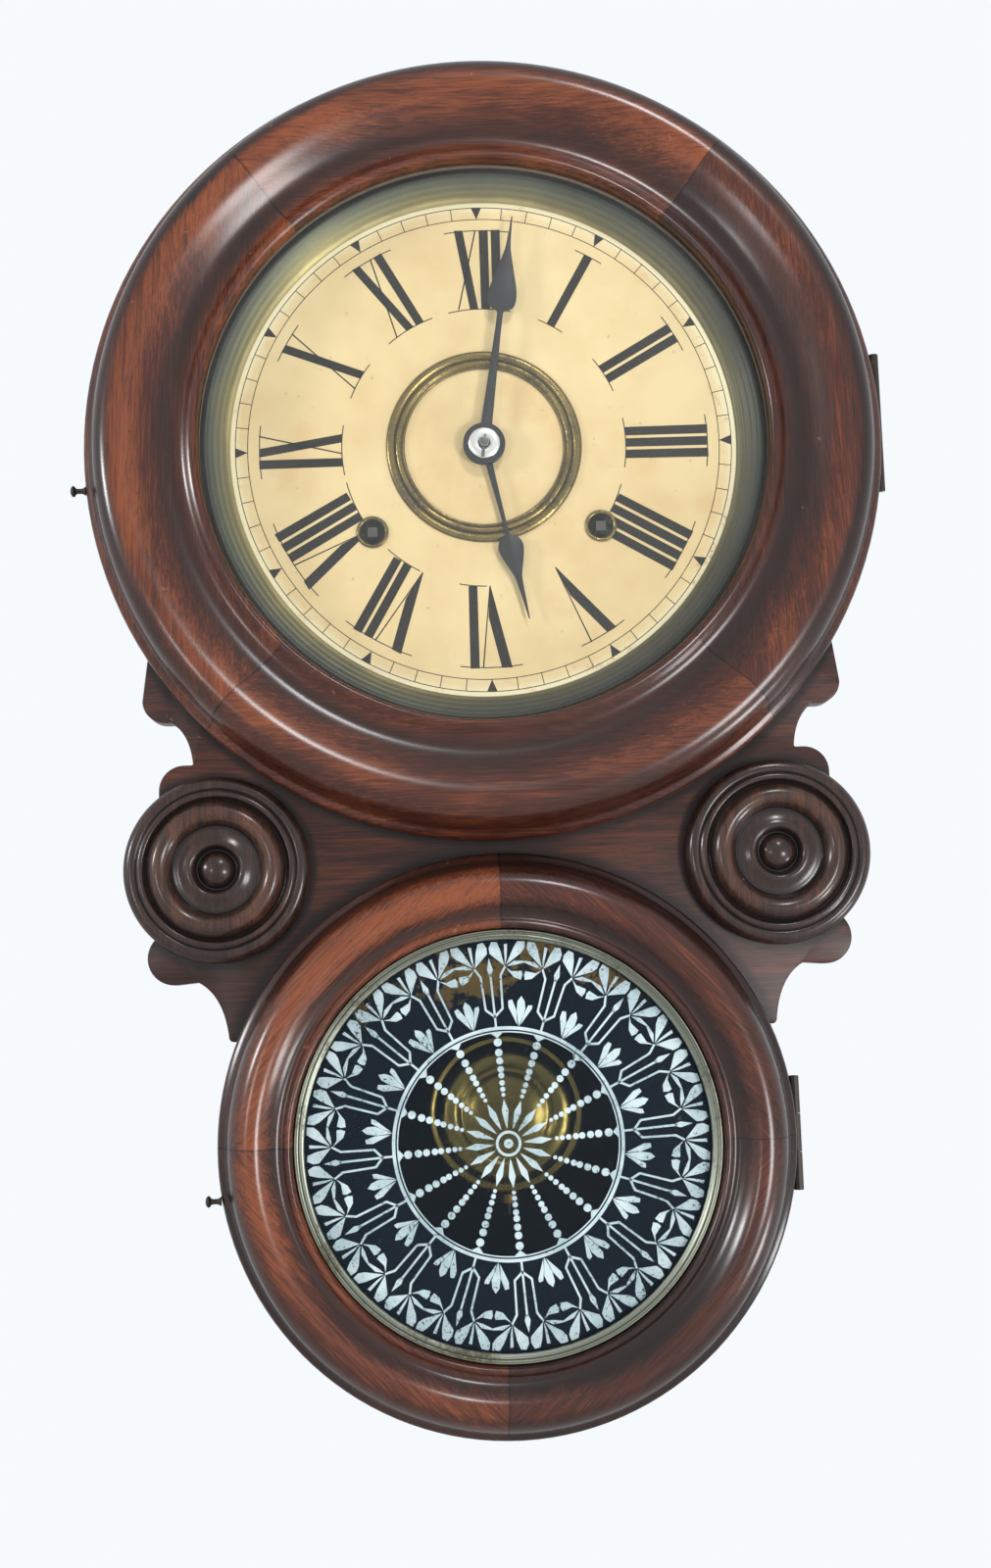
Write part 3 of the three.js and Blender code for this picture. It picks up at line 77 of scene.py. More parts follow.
def arcLine(centre, radius, start, end, steps):
    return [(centre[0] + radius * math.cos(math.radians(start + (end - start) * i / steps)),
             centre[1] + radius * math.sin(math.radians(start + (end - start) * i / steps)))
            for i in range(steps + 1)]


def bendLine(start, bend, end, steps):
    line = []
    for i in range(steps + 1):
        t = i / steps
        line.append(tuple(a * (1 - t) ** 2 + 2 * b * t * (1 - t) + c * t ** 2
                          for a, b, c in zip(start, bend, end)))
    return line


def turnPiece(profile, centre=(0, 0), steps=144, arc=None):
    # a profile of (radius, depth) spun about the line through centre
    clearSelection()
    bpy.ops.mesh.primitive_circle_add(vertices=len(profile), radius=0.1,
                                      fill_type='NGON' if arc else 'NOTHING')
    piece = bpy.context.object
    first, last = arc or (0, 360)
    start = math.radians(first)
    for vert, (radius, depth) in zip(piece.data.vertices, profile):
        vert.co = ((centre[0] + radius * math.cos(start)) * mm, -depth * mm,
                   (centre[1] + radius * math.sin(start)) * mm)
    bpy.ops.object.mode_set(mode='EDIT')
    bpy.ops.mesh.select_all(action='SELECT')
    bpy.ops.mesh.spin(steps=steps, angle=math.radians(last - first),
                      center=(centre[0] * mm, 0, centre[1] * mm), axis=(0, 1, 0))
    bpy.ops.mesh.select_all(action='SELECT')
    bpy.ops.mesh.remove_doubles(threshold=2e-6)
    bpy.ops.mesh.delete_loose()
    bpy.ops.mesh.select_all(action='SELECT')
    bpy.ops.mesh.normals_make_consistent(inside=False)
    bpy.ops.object.mode_set(mode='OBJECT')
    return smoothEdges(piece)


def platePiece(outline, back, front, bevel=0, segments=2):
    clearSelection()
    bpy.ops.mesh.primitive_circle_add(vertices=len(outline), radius=0.1, fill_type='NGON')
    piece = bpy.context.object
    for vert, (x, z) in zip(piece.data.vertices, outline):
        vert.co = (x * mm, -back * mm, z * mm)
    bpy.ops.object.mode_set(mode='EDIT')
    bpy.ops.mesh.select_all(action='SELECT')
    bpy.ops.mesh.extrude_region_move(TRANSFORM_OT_translate={"value": (0, (back - front) * mm, 0)})
    bpy.ops.mesh.select_all(action='SELECT')
    bpy.ops.mesh.normals_make_consistent(inside=False)
    bpy.ops.object.mode_set(mode='OBJECT')
    if bevel:
        bevelEdges(piece, bevel, segments)
    return smoothEdges(piece)


def bevelEdges(piece, width, segments=2, angle=40):
    makeActive(piece)
    bevel = piece.modifiers.new('bevel', 'BEVEL')
    bevel.width = width * mm
    bevel.segments = segments
    bevel.limit_method = 'ANGLE'
    bevel.angle_limit = math.radians(angle)
    bevel.use_clamp_overlap = True
    bpy.ops.object.modifier_apply(modifier=bevel.name)


def flatPiece(outline, depth):
    # a thin printed shape that faces the front
    clearSelection()
    bpy.ops.mesh.primitive_circle_add(vertices=len(outline), radius=0.1, fill_type='NGON')
    piece = bpy.context.object
    for vert, (x, z) in zip(piece.data.vertices, outline):
        vert.co = (x * mm, -depth * mm, z * mm)
    piece.data.update()
    if piece.data.polygons[0].normal.y > 0:
        piece.data.flip_normals()
    return piece


def boxCutter(low, high):
    # corners as (x, d, z)
    clearSelection()
    bpy.ops.mesh.primitive_cube_add(size=1)
    piece = bpy.context.object
    for vert in piece.data.vertices:
        share = [c + 0.5 for c in vert.co]
        x, d, z = (a + (b - a) * s for a, b, s in zip(low, high, share))
        vert.co = (x * mm, -d * mm, z * mm)
    if high[1] > low[1]:
        piece.data.flip_normals()
    return piece


def barPiece(start, end, radius, tip=None, sides=24):
    # a round bar between two (x, d, z) places
    first = Vector((start[0], -start[1], start[2])) * mm
    last = Vector((end[0], -end[1], end[2])) * mm
    clearSelection()
    bpy.ops.mesh.primitive_cone_add(vertices=sides, radius1=radius * mm,
                                    radius2=(radius if tip is None else tip) * mm,
                                    depth=(last - first).length)
    piece = bpy.context.object
    turn = (last - first).to_track_quat('Z', 'Y').to_matrix().to_4x4()
    piece.data.transform(Matrix.Translation((first + last) / 2) @ turn)
    return smoothEdges(piece)


def cutWith(piece, *cutters, operation='DIFFERENCE'):
    for cutter in cutters:
        makeActive(piece)
        cut = piece.modifiers.new('cut', 'BOOLEAN')
        cut.operation = operation
        cut.solver = 'EXACT'
        cut.object = cutter
        bpy.ops.object.modifier_apply(modifier=cut.name)
        bpy.data.objects.remove(cutter)
    return smoothEdges(piece)


def copyPiece(piece, matrix):
    twin = piece.copy()
    twin.data = piece.data.copy()
    bpy.context.scene.collection.objects.link(twin)
    twin.data.transform(matrix)
    if matrix.determinant() < 0:
        twin.data.flip_normals()
    return twin


def turnAbout(centre, degrees):
    # clockwise seen from the front
    middle = Vector((centre[0] * mm, 0, centre[1] * mm))
    return (Matrix.Translation(middle) @ Matrix.Rotation(math.radians(degrees), 4, 'Y')
            @ Matrix.Translation(-middle))


def joinPieces(pieces):
    clearSelection()
    for piece in pieces:
        piece.select_set(True)
    bpy.context.view_layer.objects.active = pieces[0]
    bpy.ops.object.join()
    return bpy.context.object


def placePiece(piece, name, body, slotName, paint, *nodes):
    piece.name = name
    piece.data.name = name
    piece.data.materials.clear()
    piece.data.materials.append(paint.material)
    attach(piece, body)
    if nodes:
        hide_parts(*nodes)
    return piece


def tint(red, green, blue):
    # an 8-bit screen colour as linear light
    return tuple((c / 255 / 12.92) if c <= 10 else ((c / 255 + 0.055) / 1.055) ** 2.4
                 for c in (red, green, blue)) + (1,)


class Term:
    # one socket's value, so that maths on it adds Math nodes
    def __init__(self, desk, socket):
        self.desk = desk
        self.socket = socket

    def __add__(self, other):
        return self.desk.calc('ADD', self, other)

    def __radd__(self, other):
        return self.desk.calc('ADD', other, self)

    def __sub__(self, other):
        return self.desk.calc('SUBTRACT', self, other)

    def __rsub__(self, other):
        return self.desk.calc('SUBTRACT', other, self)

    def __mul__(self, other):
        return self.desk.calc('MULTIPLY', self, other)

    def __rmul__(self, other):
        return self.desk.calc('MULTIPLY', other, self)

    def __truediv__(self, other):
        return self.desk.calc('DIVIDE', self, other)

    def __rtruediv__(self, other):
        return self.desk.calc('DIVIDE', other, self)


class NodeDesk:
    def __init__(self, tree):
        self.tree = tree

    def add(self, kind, settings=None, sockets=None, out=0):
        node = self.tree.nodes.new(kind)
        for key, value in (settings or {}).items():
            if key == 'stops':
                ramp = node.color_ramp
                while len(ramp.elements) < len(value):
                    ramp.elements.new(0.5)
                for element, (position, colour) in zip(ramp.elements, value):
                    element.position = position
                    element.color = colour
            else:
                setattr(node, key, value)
        for key, value in (sockets or {}).items():
            self.feed(node.inputs[key], value)
        return Term(self, node.outputs[out])

    def other(self, term, out):
        # another output of the same node
        return Term(self, term.socket.node.outputs[out])

    def feed(self, socket, value):
        if isinstance(value, Term):
            self.tree.links.new(value.socket, socket)
        else:
            socket.default_value = value

    def calc(self, operation, *values, clamp=False):
        return self.add('ShaderNodeMath', {'operation': operation, 'use_clamp': clamp},
                        dict(enumerate(values)))


class Paint(NodeDesk):
    def __init__(self, name):
        self.material = bpy.data.materials.new(name)
        self.material.use_nodes = True
        super().__init__(self.material.node_tree)
        self.shader = self.tree.nodes['Principled BSDF']
        self.place = self.add('ShaderNodeTexCoord', out='Object')
        self.x = self.add('ShaderNodeSeparateXYZ', sockets={0: self.place})
        self.y = self.other(self.x, 1)
        self.z = self.other(self.x, 2)

    def mix(self, factor, first, second):
        # a plain triple is an 8-bit screen colour
        first, second = (tint(*c) if isinstance(c, tuple) else c for c in (first, second))
        return self.add('ShaderNodeMix', {'data_type': 'RGBA'}, {0: factor, 6: first, 7: second}, out=2)

    def vector(self, x, y, z):
        return self.add('ShaderNodeCombineXYZ', None, {0: x, 1: y, 2: z})

    def noise(self, place, scale, detail=4, rough=0.55):
        return self.add('ShaderNodeTexNoise', None,
                        {'Vector': place, 'Scale': scale, 'Detail': detail, 'Roughness': rough})

    def ease(self, value, low, high):
        # 0 below low, 1 above high
        return self.add('ShaderNodeMapRange', {'interpolation_type': 'SMOOTHSTEP'},
                        {'Value': value, 'From Min': low, 'From Max': high})

    def near(self, value, at, wide, sharp=0.2):
        # 1 at this place in mm, fading to 0 at wide mm from it
        return 1 - self.ease(self.calc('ABSOLUTE', value - at * mm), sharp * wide * mm, wide * mm)

    def flecks(self, scale, detail, rough, low, high):
        return self.ease(self.noise(self.place, scale, detail, rough), low, high)

    def ramp(self, value, *stops):
        stops = [(position, tint(*colour)) for position, colour in stops]
        return self.add('ShaderNodeValToRGB', {'stops': stops}, {0: value})

    def radius(self, centre):
        dx = self.x - centre[0] * mm
        dz = self.z - centre[1] * mm
        return self.calc('SQRT', dx * dx + dz * dz)

    def bump(self, height, strength, distance):
        bump = self.add('ShaderNodeBump', None,
                        {'Strength': strength, 'Distance': distance * mm, 'Height': height})
        self.feed(self.shader.inputs['Normal'], bump)

    def set(self, **values):
        names = {'colour': 'Base Color', 'rough': 'Roughness', 'metal': 'Metallic',
                 'coat': 'Coat Weight', 'coatRough': 'Coat Roughness', 'alpha': 'Alpha',
                 'shine': 'Specular IOR Level', 'bend': 'IOR'}
        for key, value in values.items():
            self.feed(self.shader.inputs[names[key]], value)


lowerCentre = (0, -282)
upperRadius = 162.8
lowerRadius = 114.1
rosettePlace = (112.4, -170.8)  # the right one, and the left one mirrors it
rosetteRim = 37.2


def woodPaint(name, tones, axes, look, dirtAndShade, dirtAndShadeTone):
    # the axes run along, across and into the grain
    paint = Paint(name)
    if axes == 'stave':
        # the staves carry their own grain map
        u = paint.add('ShaderNodeSeparateXYZ', None, {0: paint.add('ShaderNodeUVMap', {'uv_map': 'grain'})})
        v, w = paint.other(u, 1), paint.y
    else:
        places = {'x': paint.x, 'y': paint.y, 'z': paint.z}
        u, v, w = (places[axis] for axis in axes)
    drift = paint.noise(paint.vector(u * 6, v * 20, w * 20), 1, 3, 0.5)
    v = v + (drift - 0.5) * look['wander'] * mm
    streak = paint.noise(paint.vector(u * 12, v * look['streak'], w * look['streak'] * 0.5), 1, 5, 0.62)
    fibre = paint.noise(paint.vector(u * 60, v * 1500, w * 900), 1, 3, 0.6)
    pores = paint.ease(paint.noise(paint.vector(u * 110, v * 3000, w * 3000), 1, 2, 0.5), 0.56, 0.68)
    figure = paint.noise(paint.vector(u * 4, v * look['figure'], w * 30), 1, 2, 0.5)
    cloud = paint.noise(paint.place, look['cloud'], 3, 0.6)
    shift = look['shift'](paint) if 'shift' in look else 0
    tone = paint.calc('ADD', (streak - 0.5) * look['contrast'] + (figure - 0.5) * 0.5 + (cloud - 0.5) * 0.6,
                      (fibre - 0.5) * 0.75 + 0.5 + shift, clamp=True)
    colour = paint.ramp(tone, *zip((0.15, 0.5, 0.85), tones))
    colour = paint.mix(pores * 0.5, colour, tones[0])
    rough = look['rough'] + (fibre - 0.5) * 0.16 + (cloud - 0.5) * 0.22 + pores * 0.15
    # this mask is dirt, and for the rings, board, rosettes and back board also painted shade
    mask = dirtAndShade(paint, cloud, streak)
    colour = paint.mix(mask, colour, dirtAndShadeTone)
    rough = rough + mask * 0.1
    specks = paint.flecks(520, 2, 0.5, 0.71, 0.77)
    colour = paint.mix(specks * 0.5, colour, dirtAndShadeTone)
    nicks = paint.flecks(160, 3, 0.6, 0.72, 0.76)
    colour = paint.mix(nicks * 0.45, colour, look['pale'])
    paint.set(colour=colour, rough=rough, shine=look['shine'],
              coat=look['coat'] * (1 - nicks * 0.7), coatRough=look['coatRough'])
    paint.bump(streak * 0.5 - pores * 0.6 + fibre * 0.3 - nicks * 0.8, look['relief'], 0.2)
    return paint


def brassPaint(name, bright, dull, share, rough=0.34, relief=0.12, lines=None):
    paint = Paint(name)
    patch = paint.noise(paint.place, 38, 6, 0.65)
    fine = paint.noise(paint.place, 700, 3, 0.6)
    tarnish = paint.ease(patch + (fine - 0.5) * 0.35, 0.62 - share, 0.82 - share)
    colour = paint.mix(tarnish, bright, dull)
    spots = paint.flecks(190, 3, 0.6, 0.66, 0.74)
    colour = paint.mix(spots * 0.5, colour, (62, 50, 34))
    height = fine * 0.6 + patch * 0.4
    if lines:
        turned = paint.calc('SINE', paint.radius(lines['centre']) * (2 * math.pi / (lines['pitch'] * mm)))
        height = height + turned * 0.5
        colour = paint.mix(paint.ease(turned, 0.3, 1) * 0.25, colour, (70, 60, 40))
    paint.set(colour=colour, rough=rough + tarnish * 0.2 + (fine - 0.5) * 0.12, metal=1 - tarnish * 0.25)
    paint.bump(height, relief, 0.1)
    return paint


def steelPaint(name, bright, dull, share, rough=0.35, metal=1.0, shine=0.5):
    paint = Paint(name)
    patch = paint.noise(paint.place, 120, 6, 0.7)
    fine = paint.noise(paint.place, 1500, 2, 0.6)
    mask = paint.ease(patch + (fine - 0.5) * 0.4, 0.66 - share, 0.80 - share)
    paint.set(colour=paint.mix(mask, bright, dull),
              rough=rough + mask * 0.25 + (fine - 0.5) * 0.1, metal=metal, shine=shine)
    paint.bump(fine * 0.5 + patch * 0.5, 0.15, 0.08)
    return paint


def ringShadeAndSeams(centre, hollowAt, rimAt, inner, fade):
    # painted shade in the hollow, on the outer flank (less of it towards the bottom) and at the bore's lip,
    # and dark joints along the seams
    def mask(paint, cloud, streak):
        r = paint.radius(centre) + ((streak - 0.5) * 5 + (cloud - 0.5) * 6) * mm
        hollow = paint.near(r, *hollowAt, 0.1)
        rim = paint.near(r, *rimAt, 0.45) * (0.3 + 0.7 * paint.ease(paint.z, *fade))
        lip = 1 - paint.ease(r, inner * mm, (inner + 1.6) * mm)
        seam = paint.add('ShaderNodeAttribute', {'attribute_name': 'seam'}, out='Fac')
        total = hollow * 0.8 + rim * 0.85 + lip * 0.3 + (1 - paint.ease(seam, 0.0, 0.0008)) * 0.5
        return paint.calc('MULTIPLY', total, 0.45 + cloud, clamp=True)
    return mask


def ringToneAndPaintedLight(centre, crest):
    # each stave has its own tone, with painted shade on the right-hand staves and paler ones on the left; the
    # crest is painted paler, a painted highlight as well as wear
    def shift(paint):
        shade = paint.add('ShaderNodeAttribute', {'attribute_name': 'shade'}, out='Fac')
        return shade + paint.near(paint.radius(centre), *crest, 0.3) * 0.16
    return shift


def boardDirtAndShadow(paint, cloud, streak):
    # random dirt, and painted shadow on the board along the door rings and round the rosettes
    total = paint.ease(cloud, 0.5, 0.75) * 0.45
    x, z = rosettePlace
    for centre, radius, reach in (((0, 0), upperRadius, 5), (lowerCentre, lowerRadius, 6),
                                  ((x, z), rosetteRim, 3.4), ((-x, z), rosetteRim, 3.4)):
        near = paint.near(paint.radius(centre) + (cloud - 0.5) * 0.006, radius, reach)
        total = paint.calc('MAXIMUM', total, near * 0.85)
    return total


def rosetteRadius(paint):
    # one paint serves both sides
    dx = paint.calc('ABSOLUTE', paint.x) - rosettePlace[0] * mm
    dz = paint.z - rosettePlace[1] * mm
    return paint.calc('SQRT', dx * dx + dz * dz)


def rosetteDirtAndGrooveShade(paint, cloud, streak):
    # random dirt, and painted shade in the grooves of the turning
    r = rosetteRadius(paint) + (cloud - 0.5) * 0.001
    total = paint.ease(cloud, 0.45, 0.7) * 0.35
    for at, wide in ((8, 2.4), (17.2, 1.6), (28, 1.5), (32, 0.9)):
        total = paint.calc('MAXIMUM', total, paint.near(r, at, wide) * 0.9)
    return total


def rosetteWorn(paint):
    # the tall ridge is rubbed paler
    return paint.near(rosetteRadius(paint), 22.5, 5) * 0.22 - 0.08


def caseGrime(paint, cloud, streak):
    return paint.ease(cloud, 0.5, 0.8) * 0.45


def backDirtAndInsideShade(paint, cloud, streak):
    # random dirt, and the inside face of the back board painted near-black as painted shade, since little
    # light comes into the case
    return paint.calc('ADD', paint.ease(cloud, 0.5, 0.8) * 0.4,
                      paint.ease(paint.y * -1, 0.008, 0.0088) * 0.95, clamp=True)


ringLook = {'wander': 3.5, 'streak': 520, 'figure': 60, 'contrast': 0.42, 'cloud': 16, 'rough': 0.42,
            'coat': 0.6, 'coatRough': 0.21, 'relief': 0.1, 'shine': 0.1, 'pale': (150, 104, 78)}
ringTones = ((31, 15, 11), (72, 35, 24), (130, 69, 40))
upperRingPaint = woodPaint(
    'upper ring wood', ringTones, 'stave', dict(ringLook, shift=ringToneAndPaintedLight((0, 0), (144, 8))),
    ringShadeAndSeams((0, 0), (128.5, 8), (155.5, 5.6), 115.2, (-0.15, -0.04)), (24, 13, 11))
lowerRingPaint = woodPaint(
    'lower ring wood', ringTones, 'stave', dict(ringLook, shift=ringToneAndPaintedLight(lowerCentre, (99, 6))),
    ringShadeAndSeams(lowerCentre, (90.5, 4.5), (111, 5.4), 83.7, (-0.42, -0.36)), (24, 13, 11))
boardPaint = woodPaint(
    'board wood', ((24, 13, 11), (54, 29, 22), (100, 53, 36)), 'xzy',
    {'wander': 4, 'streak': 330, 'figure': 45, 'contrast': 0.8, 'cloud': 11, 'rough': 0.48,
     'coat': 0.3, 'coatRough': 0.3, 'relief': 0.2, 'shine': 0.15, 'pale': (120, 96, 84)},
    boardDirtAndShadow, (16, 11, 10))
rosettePaint = woodPaint(
    'rosette wood', ((26, 16, 13), (48, 30, 23), (92, 58, 42)), 'zxy',
    {'wander': 4, 'streak': 300, 'figure': 60, 'contrast': 0.9, 'cloud': 24, 'rough': 0.42,
     'coat': 0.5, 'coatRough': 0.19, 'relief': 0.2, 'shine': 0.16, 'pale': (136, 116, 102),
     'shift': rosetteWorn},
    rosetteDirtAndGrooveShade, (15, 11, 10))
casePaint = woodPaint(
    'case side wood', ((70, 44, 30), (104, 70, 48), (142, 102, 72)), 'yzx',
    {'wander': 5, 'streak': 220, 'figure': 40, 'contrast': 0.9, 'cloud': 8, 'rough': 0.55,
     'coat': 0.1, 'coatRough': 0.35, 'relief': 0.25, 'shine': 0.2, 'pale': (166, 134, 104)},
    caseGrime, (46, 32, 25))
backPaint = woodPaint(
    'back board wood', ((84, 62, 44), (126, 96, 68), (160, 126, 92)), 'zxy',
    {'wander': 9, 'streak': 160, 'figure': 30, 'contrast': 1, 'cloud': 6, 'rough': 0.7,
     'coat': 0.0, 'coatRough': 0.4, 'relief': 0.35, 'shine': 0.2, 'pale': (178, 150, 116)},
    backDirtAndInsideShade, (24, 21, 22))
brassWork = brassPaint('movement brass', (190, 152, 86), (128, 98, 52), 0.1)
centreRingPaint = brassPaint('centre ring brass', (122, 106, 62), (64, 54, 32), 0.16, 0.28, 0.12,
                             {'centre': (0, 0), 'pitch': 0.9})


def sightBrass():
    # olive brass, with painted shade towards the door ring and a painted highlight at its inner lip
    paint = Paint('sight ring brass')
    r = paint.radius((0, 0))
    patch = paint.noise(paint.place, 26, 5, 0.6)
    fine = paint.noise(paint.place, 600, 3, 0.6)
    turned = paint.noise(paint.vector(r * 2600, 0, 0), 1, 2, 0.5)
    share = (r - 0.104) / 0.0102 + (patch - 0.5) * 0.45
    colour = paint.ramp(share, (0.02, (168, 156, 108)), (0.2, (118, 110, 72)),
                        (0.62, (88, 90, 72)), (0.95, (46, 50, 45)))
    colour = paint.mix(paint.ease(turned, 0.5, 0.7) * 0.2, colour, (48, 46, 34))
    # painted shade on the lower right side
    shadedSide = paint.ease(paint.x * 0.8 - paint.z * 0.5 + (patch - 0.5) * 0.06, -0.05, 0.07)
    colour = paint.mix(shadedSide * 0.72, colour, (30, 30, 24))
    paint.set(colour=colour, rough=0.42 + (fine - 0.5) * 0.16, metal=0.6, shine=0.25)
    paint.bump(fine * 0.4 + turned * 0.3, 0.08, 0.08)
    return paint


sightPaint = sightBrass()
tabletRingPaint = brassPaint('tablet ring brass', (132, 136, 124), (82, 80, 66), 0.12, 0.38, 0.12,
                             {'centre': lowerCentre, 'pitch': 0.8})
bobPaint = brassPaint('bob brass', (222, 202, 116), (158, 138, 74), 0.03, 0.25, 0.06)
steelWork = steelPaint('bright steel', (168, 170, 172), (104, 98, 90), 0.02)
washerPaint = steelPaint('washer steel', (214, 214, 210), (150, 146, 138), 0.0, 0.3)
pinPaint = steelPaint('pin steel', (96, 94, 88), (58, 52, 46), 0.06, 0.42, 0.8)
blueSpring = steelPaint('spring steel', (96, 102, 112), (52, 50, 52), 0.05)
handPaint = steelPaint('blackened steel', (34, 34, 37), (84, 74, 62), -0.03, 0.42, 0.25, 0.3)
arborPaint = steelPaint('winding steel', (74, 72, 70), (44, 38, 34), 0.1, 0.5, 0.8)
hingePaint = steelPaint('hinge steel', (52, 46, 42), (92, 68, 50), 0.05, 0.5, 0.7)
ironPaint = steelPaint('black iron', (40, 38, 37), (66, 52, 44), 0.05, 0.6, 0.5)


def dialPaper():
    paint = Paint('dial paper')
    r = paint.radius((0, 0))
    soft = paint.noise(paint.place, 14, 4, 0.6)
    mottle = paint.noise(paint.place, 60, 5, 0.65)
    fibre = paint.noise(paint.place, 900, 3, 0.6)
    colour = paint.ramp(soft * 0.6 + mottle * 0.4, (0.3, (206, 180, 128)),
                        (0.5, (217, 195, 144)), (0.7, (226, 207, 158)))
    blotch = paint.flecks(34, 4, 0.55, 0.56, 0.72)
    colour = paint.mix(blotch * 0.34, colour, (204, 160, 102))
    rim = paint.ease(r + (soft - 0.5) * 0.006, 0.0985, 0.1035)
    colour = paint.mix(rim * 0.75, colour, (234, 228, 190))
    side = paint.ease(paint.x, -0.02, 0.1) * 0.7 + 0.3
    edge = paint.ease(r, 0.093, 0.103)
    rust = paint.ease(paint.noise(paint.place, 95, 5, 0.7) + (soft - 0.5) * 0.2, 0.58, 0.68)
    colour = paint.mix(edge * rust * side * 0.75, colour, (168, 112, 58))
    spots = paint.flecks(300, 2, 0.5, 0.71, 0.78)
    colour = paint.mix(spots * 0.4, colour, (150, 108, 64))
    paint.set(colour=colour, rough=0.5 + (fibre - 0.5) * 0.2, coat=0.04, coatRough=0.35, shine=0.25)
    paint.bump(fibre * 0.4 + mottle * 0.6, 0.1, 0.08)
    return paint


def inkPaint():
    paint = Paint('dial ink')
    wear = paint.noise(paint.place, 480, 4, 0.7)
    worn = paint.ease(wear, 0.58, 0.74)
    paint.set(colour=paint.mix(worn * 0.5, (26, 23, 20), (104, 86, 60)), rough=0.5 + worn * 0.2,
              shine=0.12)
    paint.bump(wear, 0.1, 0.05)
    return paint


def stencilPaint():
    paint = Paint('tablet silver')
    wear = paint.noise(paint.place, 800, 4, 0.8)
    patch = paint.noise(paint.place, 60, 3, 0.6)
    gone = paint.ease(wear + (patch - 0.5) * 0.3, 0.60, 0.64)
    colour = paint.mix(paint.ease(patch, 0.35, 0.65), (212, 230, 234), (176, 198, 204))
    paint.set(colour=colour, rough=0.5 + (wear - 0.5) * 0.2, alpha=1 - gone * 0.85, shine=0.15)
    paint.bump(wear, 0.08, 0.05)
    return paint


def backPaintOf(name, colour, cover, bronze):
    # dark paint behind the tablet, with bronze showing through towards its top
    paint = Paint(name)
    patch = paint.noise(paint.place, 60, 5, 0.7)
    fine = paint.noise(paint.place, 700, 4, 0.7)
    high = paint.ease(paint.z, -0.255, -0.215)
    worn = paint.ease(patch + (fine - 0.5) * 0.2 + (high - 1) * 0.35, 0.49, 0.56)
    smear = paint.noise(paint.place, 16, 4, 0.6)
    shade = paint.mix(smear, colour, tuple(c + 9 for c in colour))
    shade = paint.mix(worn * high * bronze, shade, paint.mix(fine, (70, 58, 32), (112, 92, 48)))
    scratch = paint.flecks(260, 3, 0.7, 0.68, 0.72)
    paint.set(colour=paint.mix(scratch * 0.4, shade, (84, 90, 90)), rough=0.35 + smear * 0.2,
              alpha=cover + (smear - 0.5) * 0.2, shine=0.05)
    paint.bump(fine, 0.05, 0.05)
    return paint


def glassPaint(name, colour, alpha, dust):
    paint = Paint(name)
    haze = paint.noise(paint.place, 30, 4, 0.6)
    specks = paint.flecks(1300, 2, 0.5, 0.72, 0.78)
    paint.set(colour=paint.mix(specks, colour, (200, 196, 186)), rough=0.06 + haze * 0.05,
              alpha=alpha + haze * 0.02 + specks * dust, bend=1.5, shine=0.06)
    paint.bump(haze, 0.004, 0.02)
    return paint


def puttyPaint():
    paint = Paint('putty')
    lumps = paint.noise(paint.place, 240, 4, 0.7)
    paint.set(colour=paint.mix(lumps, (84, 74, 60), (132, 120, 98)), rough=0.8 + (lumps - 0.5) * 0.1)
    paint.bump(lumps, 0.5, 0.3)
    return paint


dialFinish = dialPaper()
inkFinish = inkPaint()
stencilFinish = stencilPaint()
upperGlassPaint = glassPaint('upper glass', (226, 232, 230), 0.02, 0.12)
tabletBlack = backPaintOf('tablet black', (11, 18, 25), 1.1, 0.9)
# a dark sheet as painted shade for the inside of the case
tabletShadeFilm = backPaintOf('tablet shade film', (20, 22, 22), 0.36, 0.3)
lowerGlassPaint = glassPaint('tablet glass', (60, 74, 90), 0.04, 0.1)
puttyFinish = puttyPaint()
print('finishes ready')

# CAD nodes that keep their shape take these finishes
keptFinish = {
    brassWork: ('movement_back_plate', 'movement_front_plate', 'suspension_post', 'time_great_wheel',
                'time_second_wheel', 'time_third_wheel', 'escape_wheel', 'hour_wheel', 'motion_wheel',
                'strike_great_wheel', 'count_wheel', 'strike_second_wheel', 'strike_third_wheel', 'fly',
                'rating_nut'),
    arborPaint: ('time_winding_arbor', 'strike_winding_arbor'),
    steelWork: ('centre_arbor', 'verge', 'hammer', 'time_click', 'strike_click', 'pendulum_rod'),
    blueSpring: ('time_mainspring', 'strike_mainspring', 'gong_coil'),
    ironPaint: ('gong_block',),
    hingePaint: ('upper_hinge_case_leaf', 'lower_hinge_case_leaf', 'upper_hinge_door_leaf',
                 'lower_hinge_door_leaf'),
    casePaint: ('left_waist_block', 'right_waist_block', 'movement_seat'),
}
for paint, names in keptFinish.items():
    for name in names:
        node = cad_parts[name]
        if not node.material_slots:
            node.data.materials.append(paint.material)
        for place in node.material_slots:
            place.material = paint.material
print('kept pieces painted')

# each door ring is four staves of wood, joined and turned
upperDoor = {
    'centre': (0, 0), 'radius': upperRadius, 'joints': (50, 130, 225, 314), 'crack': 0.09, 'steps': 36,
    'staveToneAndLight': (0.06, 0.04, -0.04, -0.2),
    'back': [(118.5, 78.32), (upperRadius, 78.32), (upperRadius, 84)],
    'curve': [(162.8, 84.2), (162.4, 85.9), (161.1, 87.2), (159.5, 88.4), (158.5, 90.3), (158, 93.2),
              (157.2, 96.8), (155.7, 99.9), (153.3, 102.3), (150, 103.8), (146.4, 104.1),
              (142.6, 103), (138.6, 100.8), (134.6, 98.1), (131, 95.9), (127.6, 94.6), (124.4, 94.4),
              (121.8, 95.2), (119.8, 96.6), (118.2, 97.5), (116.8, 97.5), (115.8, 96.4), (115.3, 94.6)],
    'bore': [(115.2, 92.8), (115.2, 91.32), (118.5, 91.32)],
    'hinge': {'x': upperRadius, 'z': 5.7, 'length': 58},
}
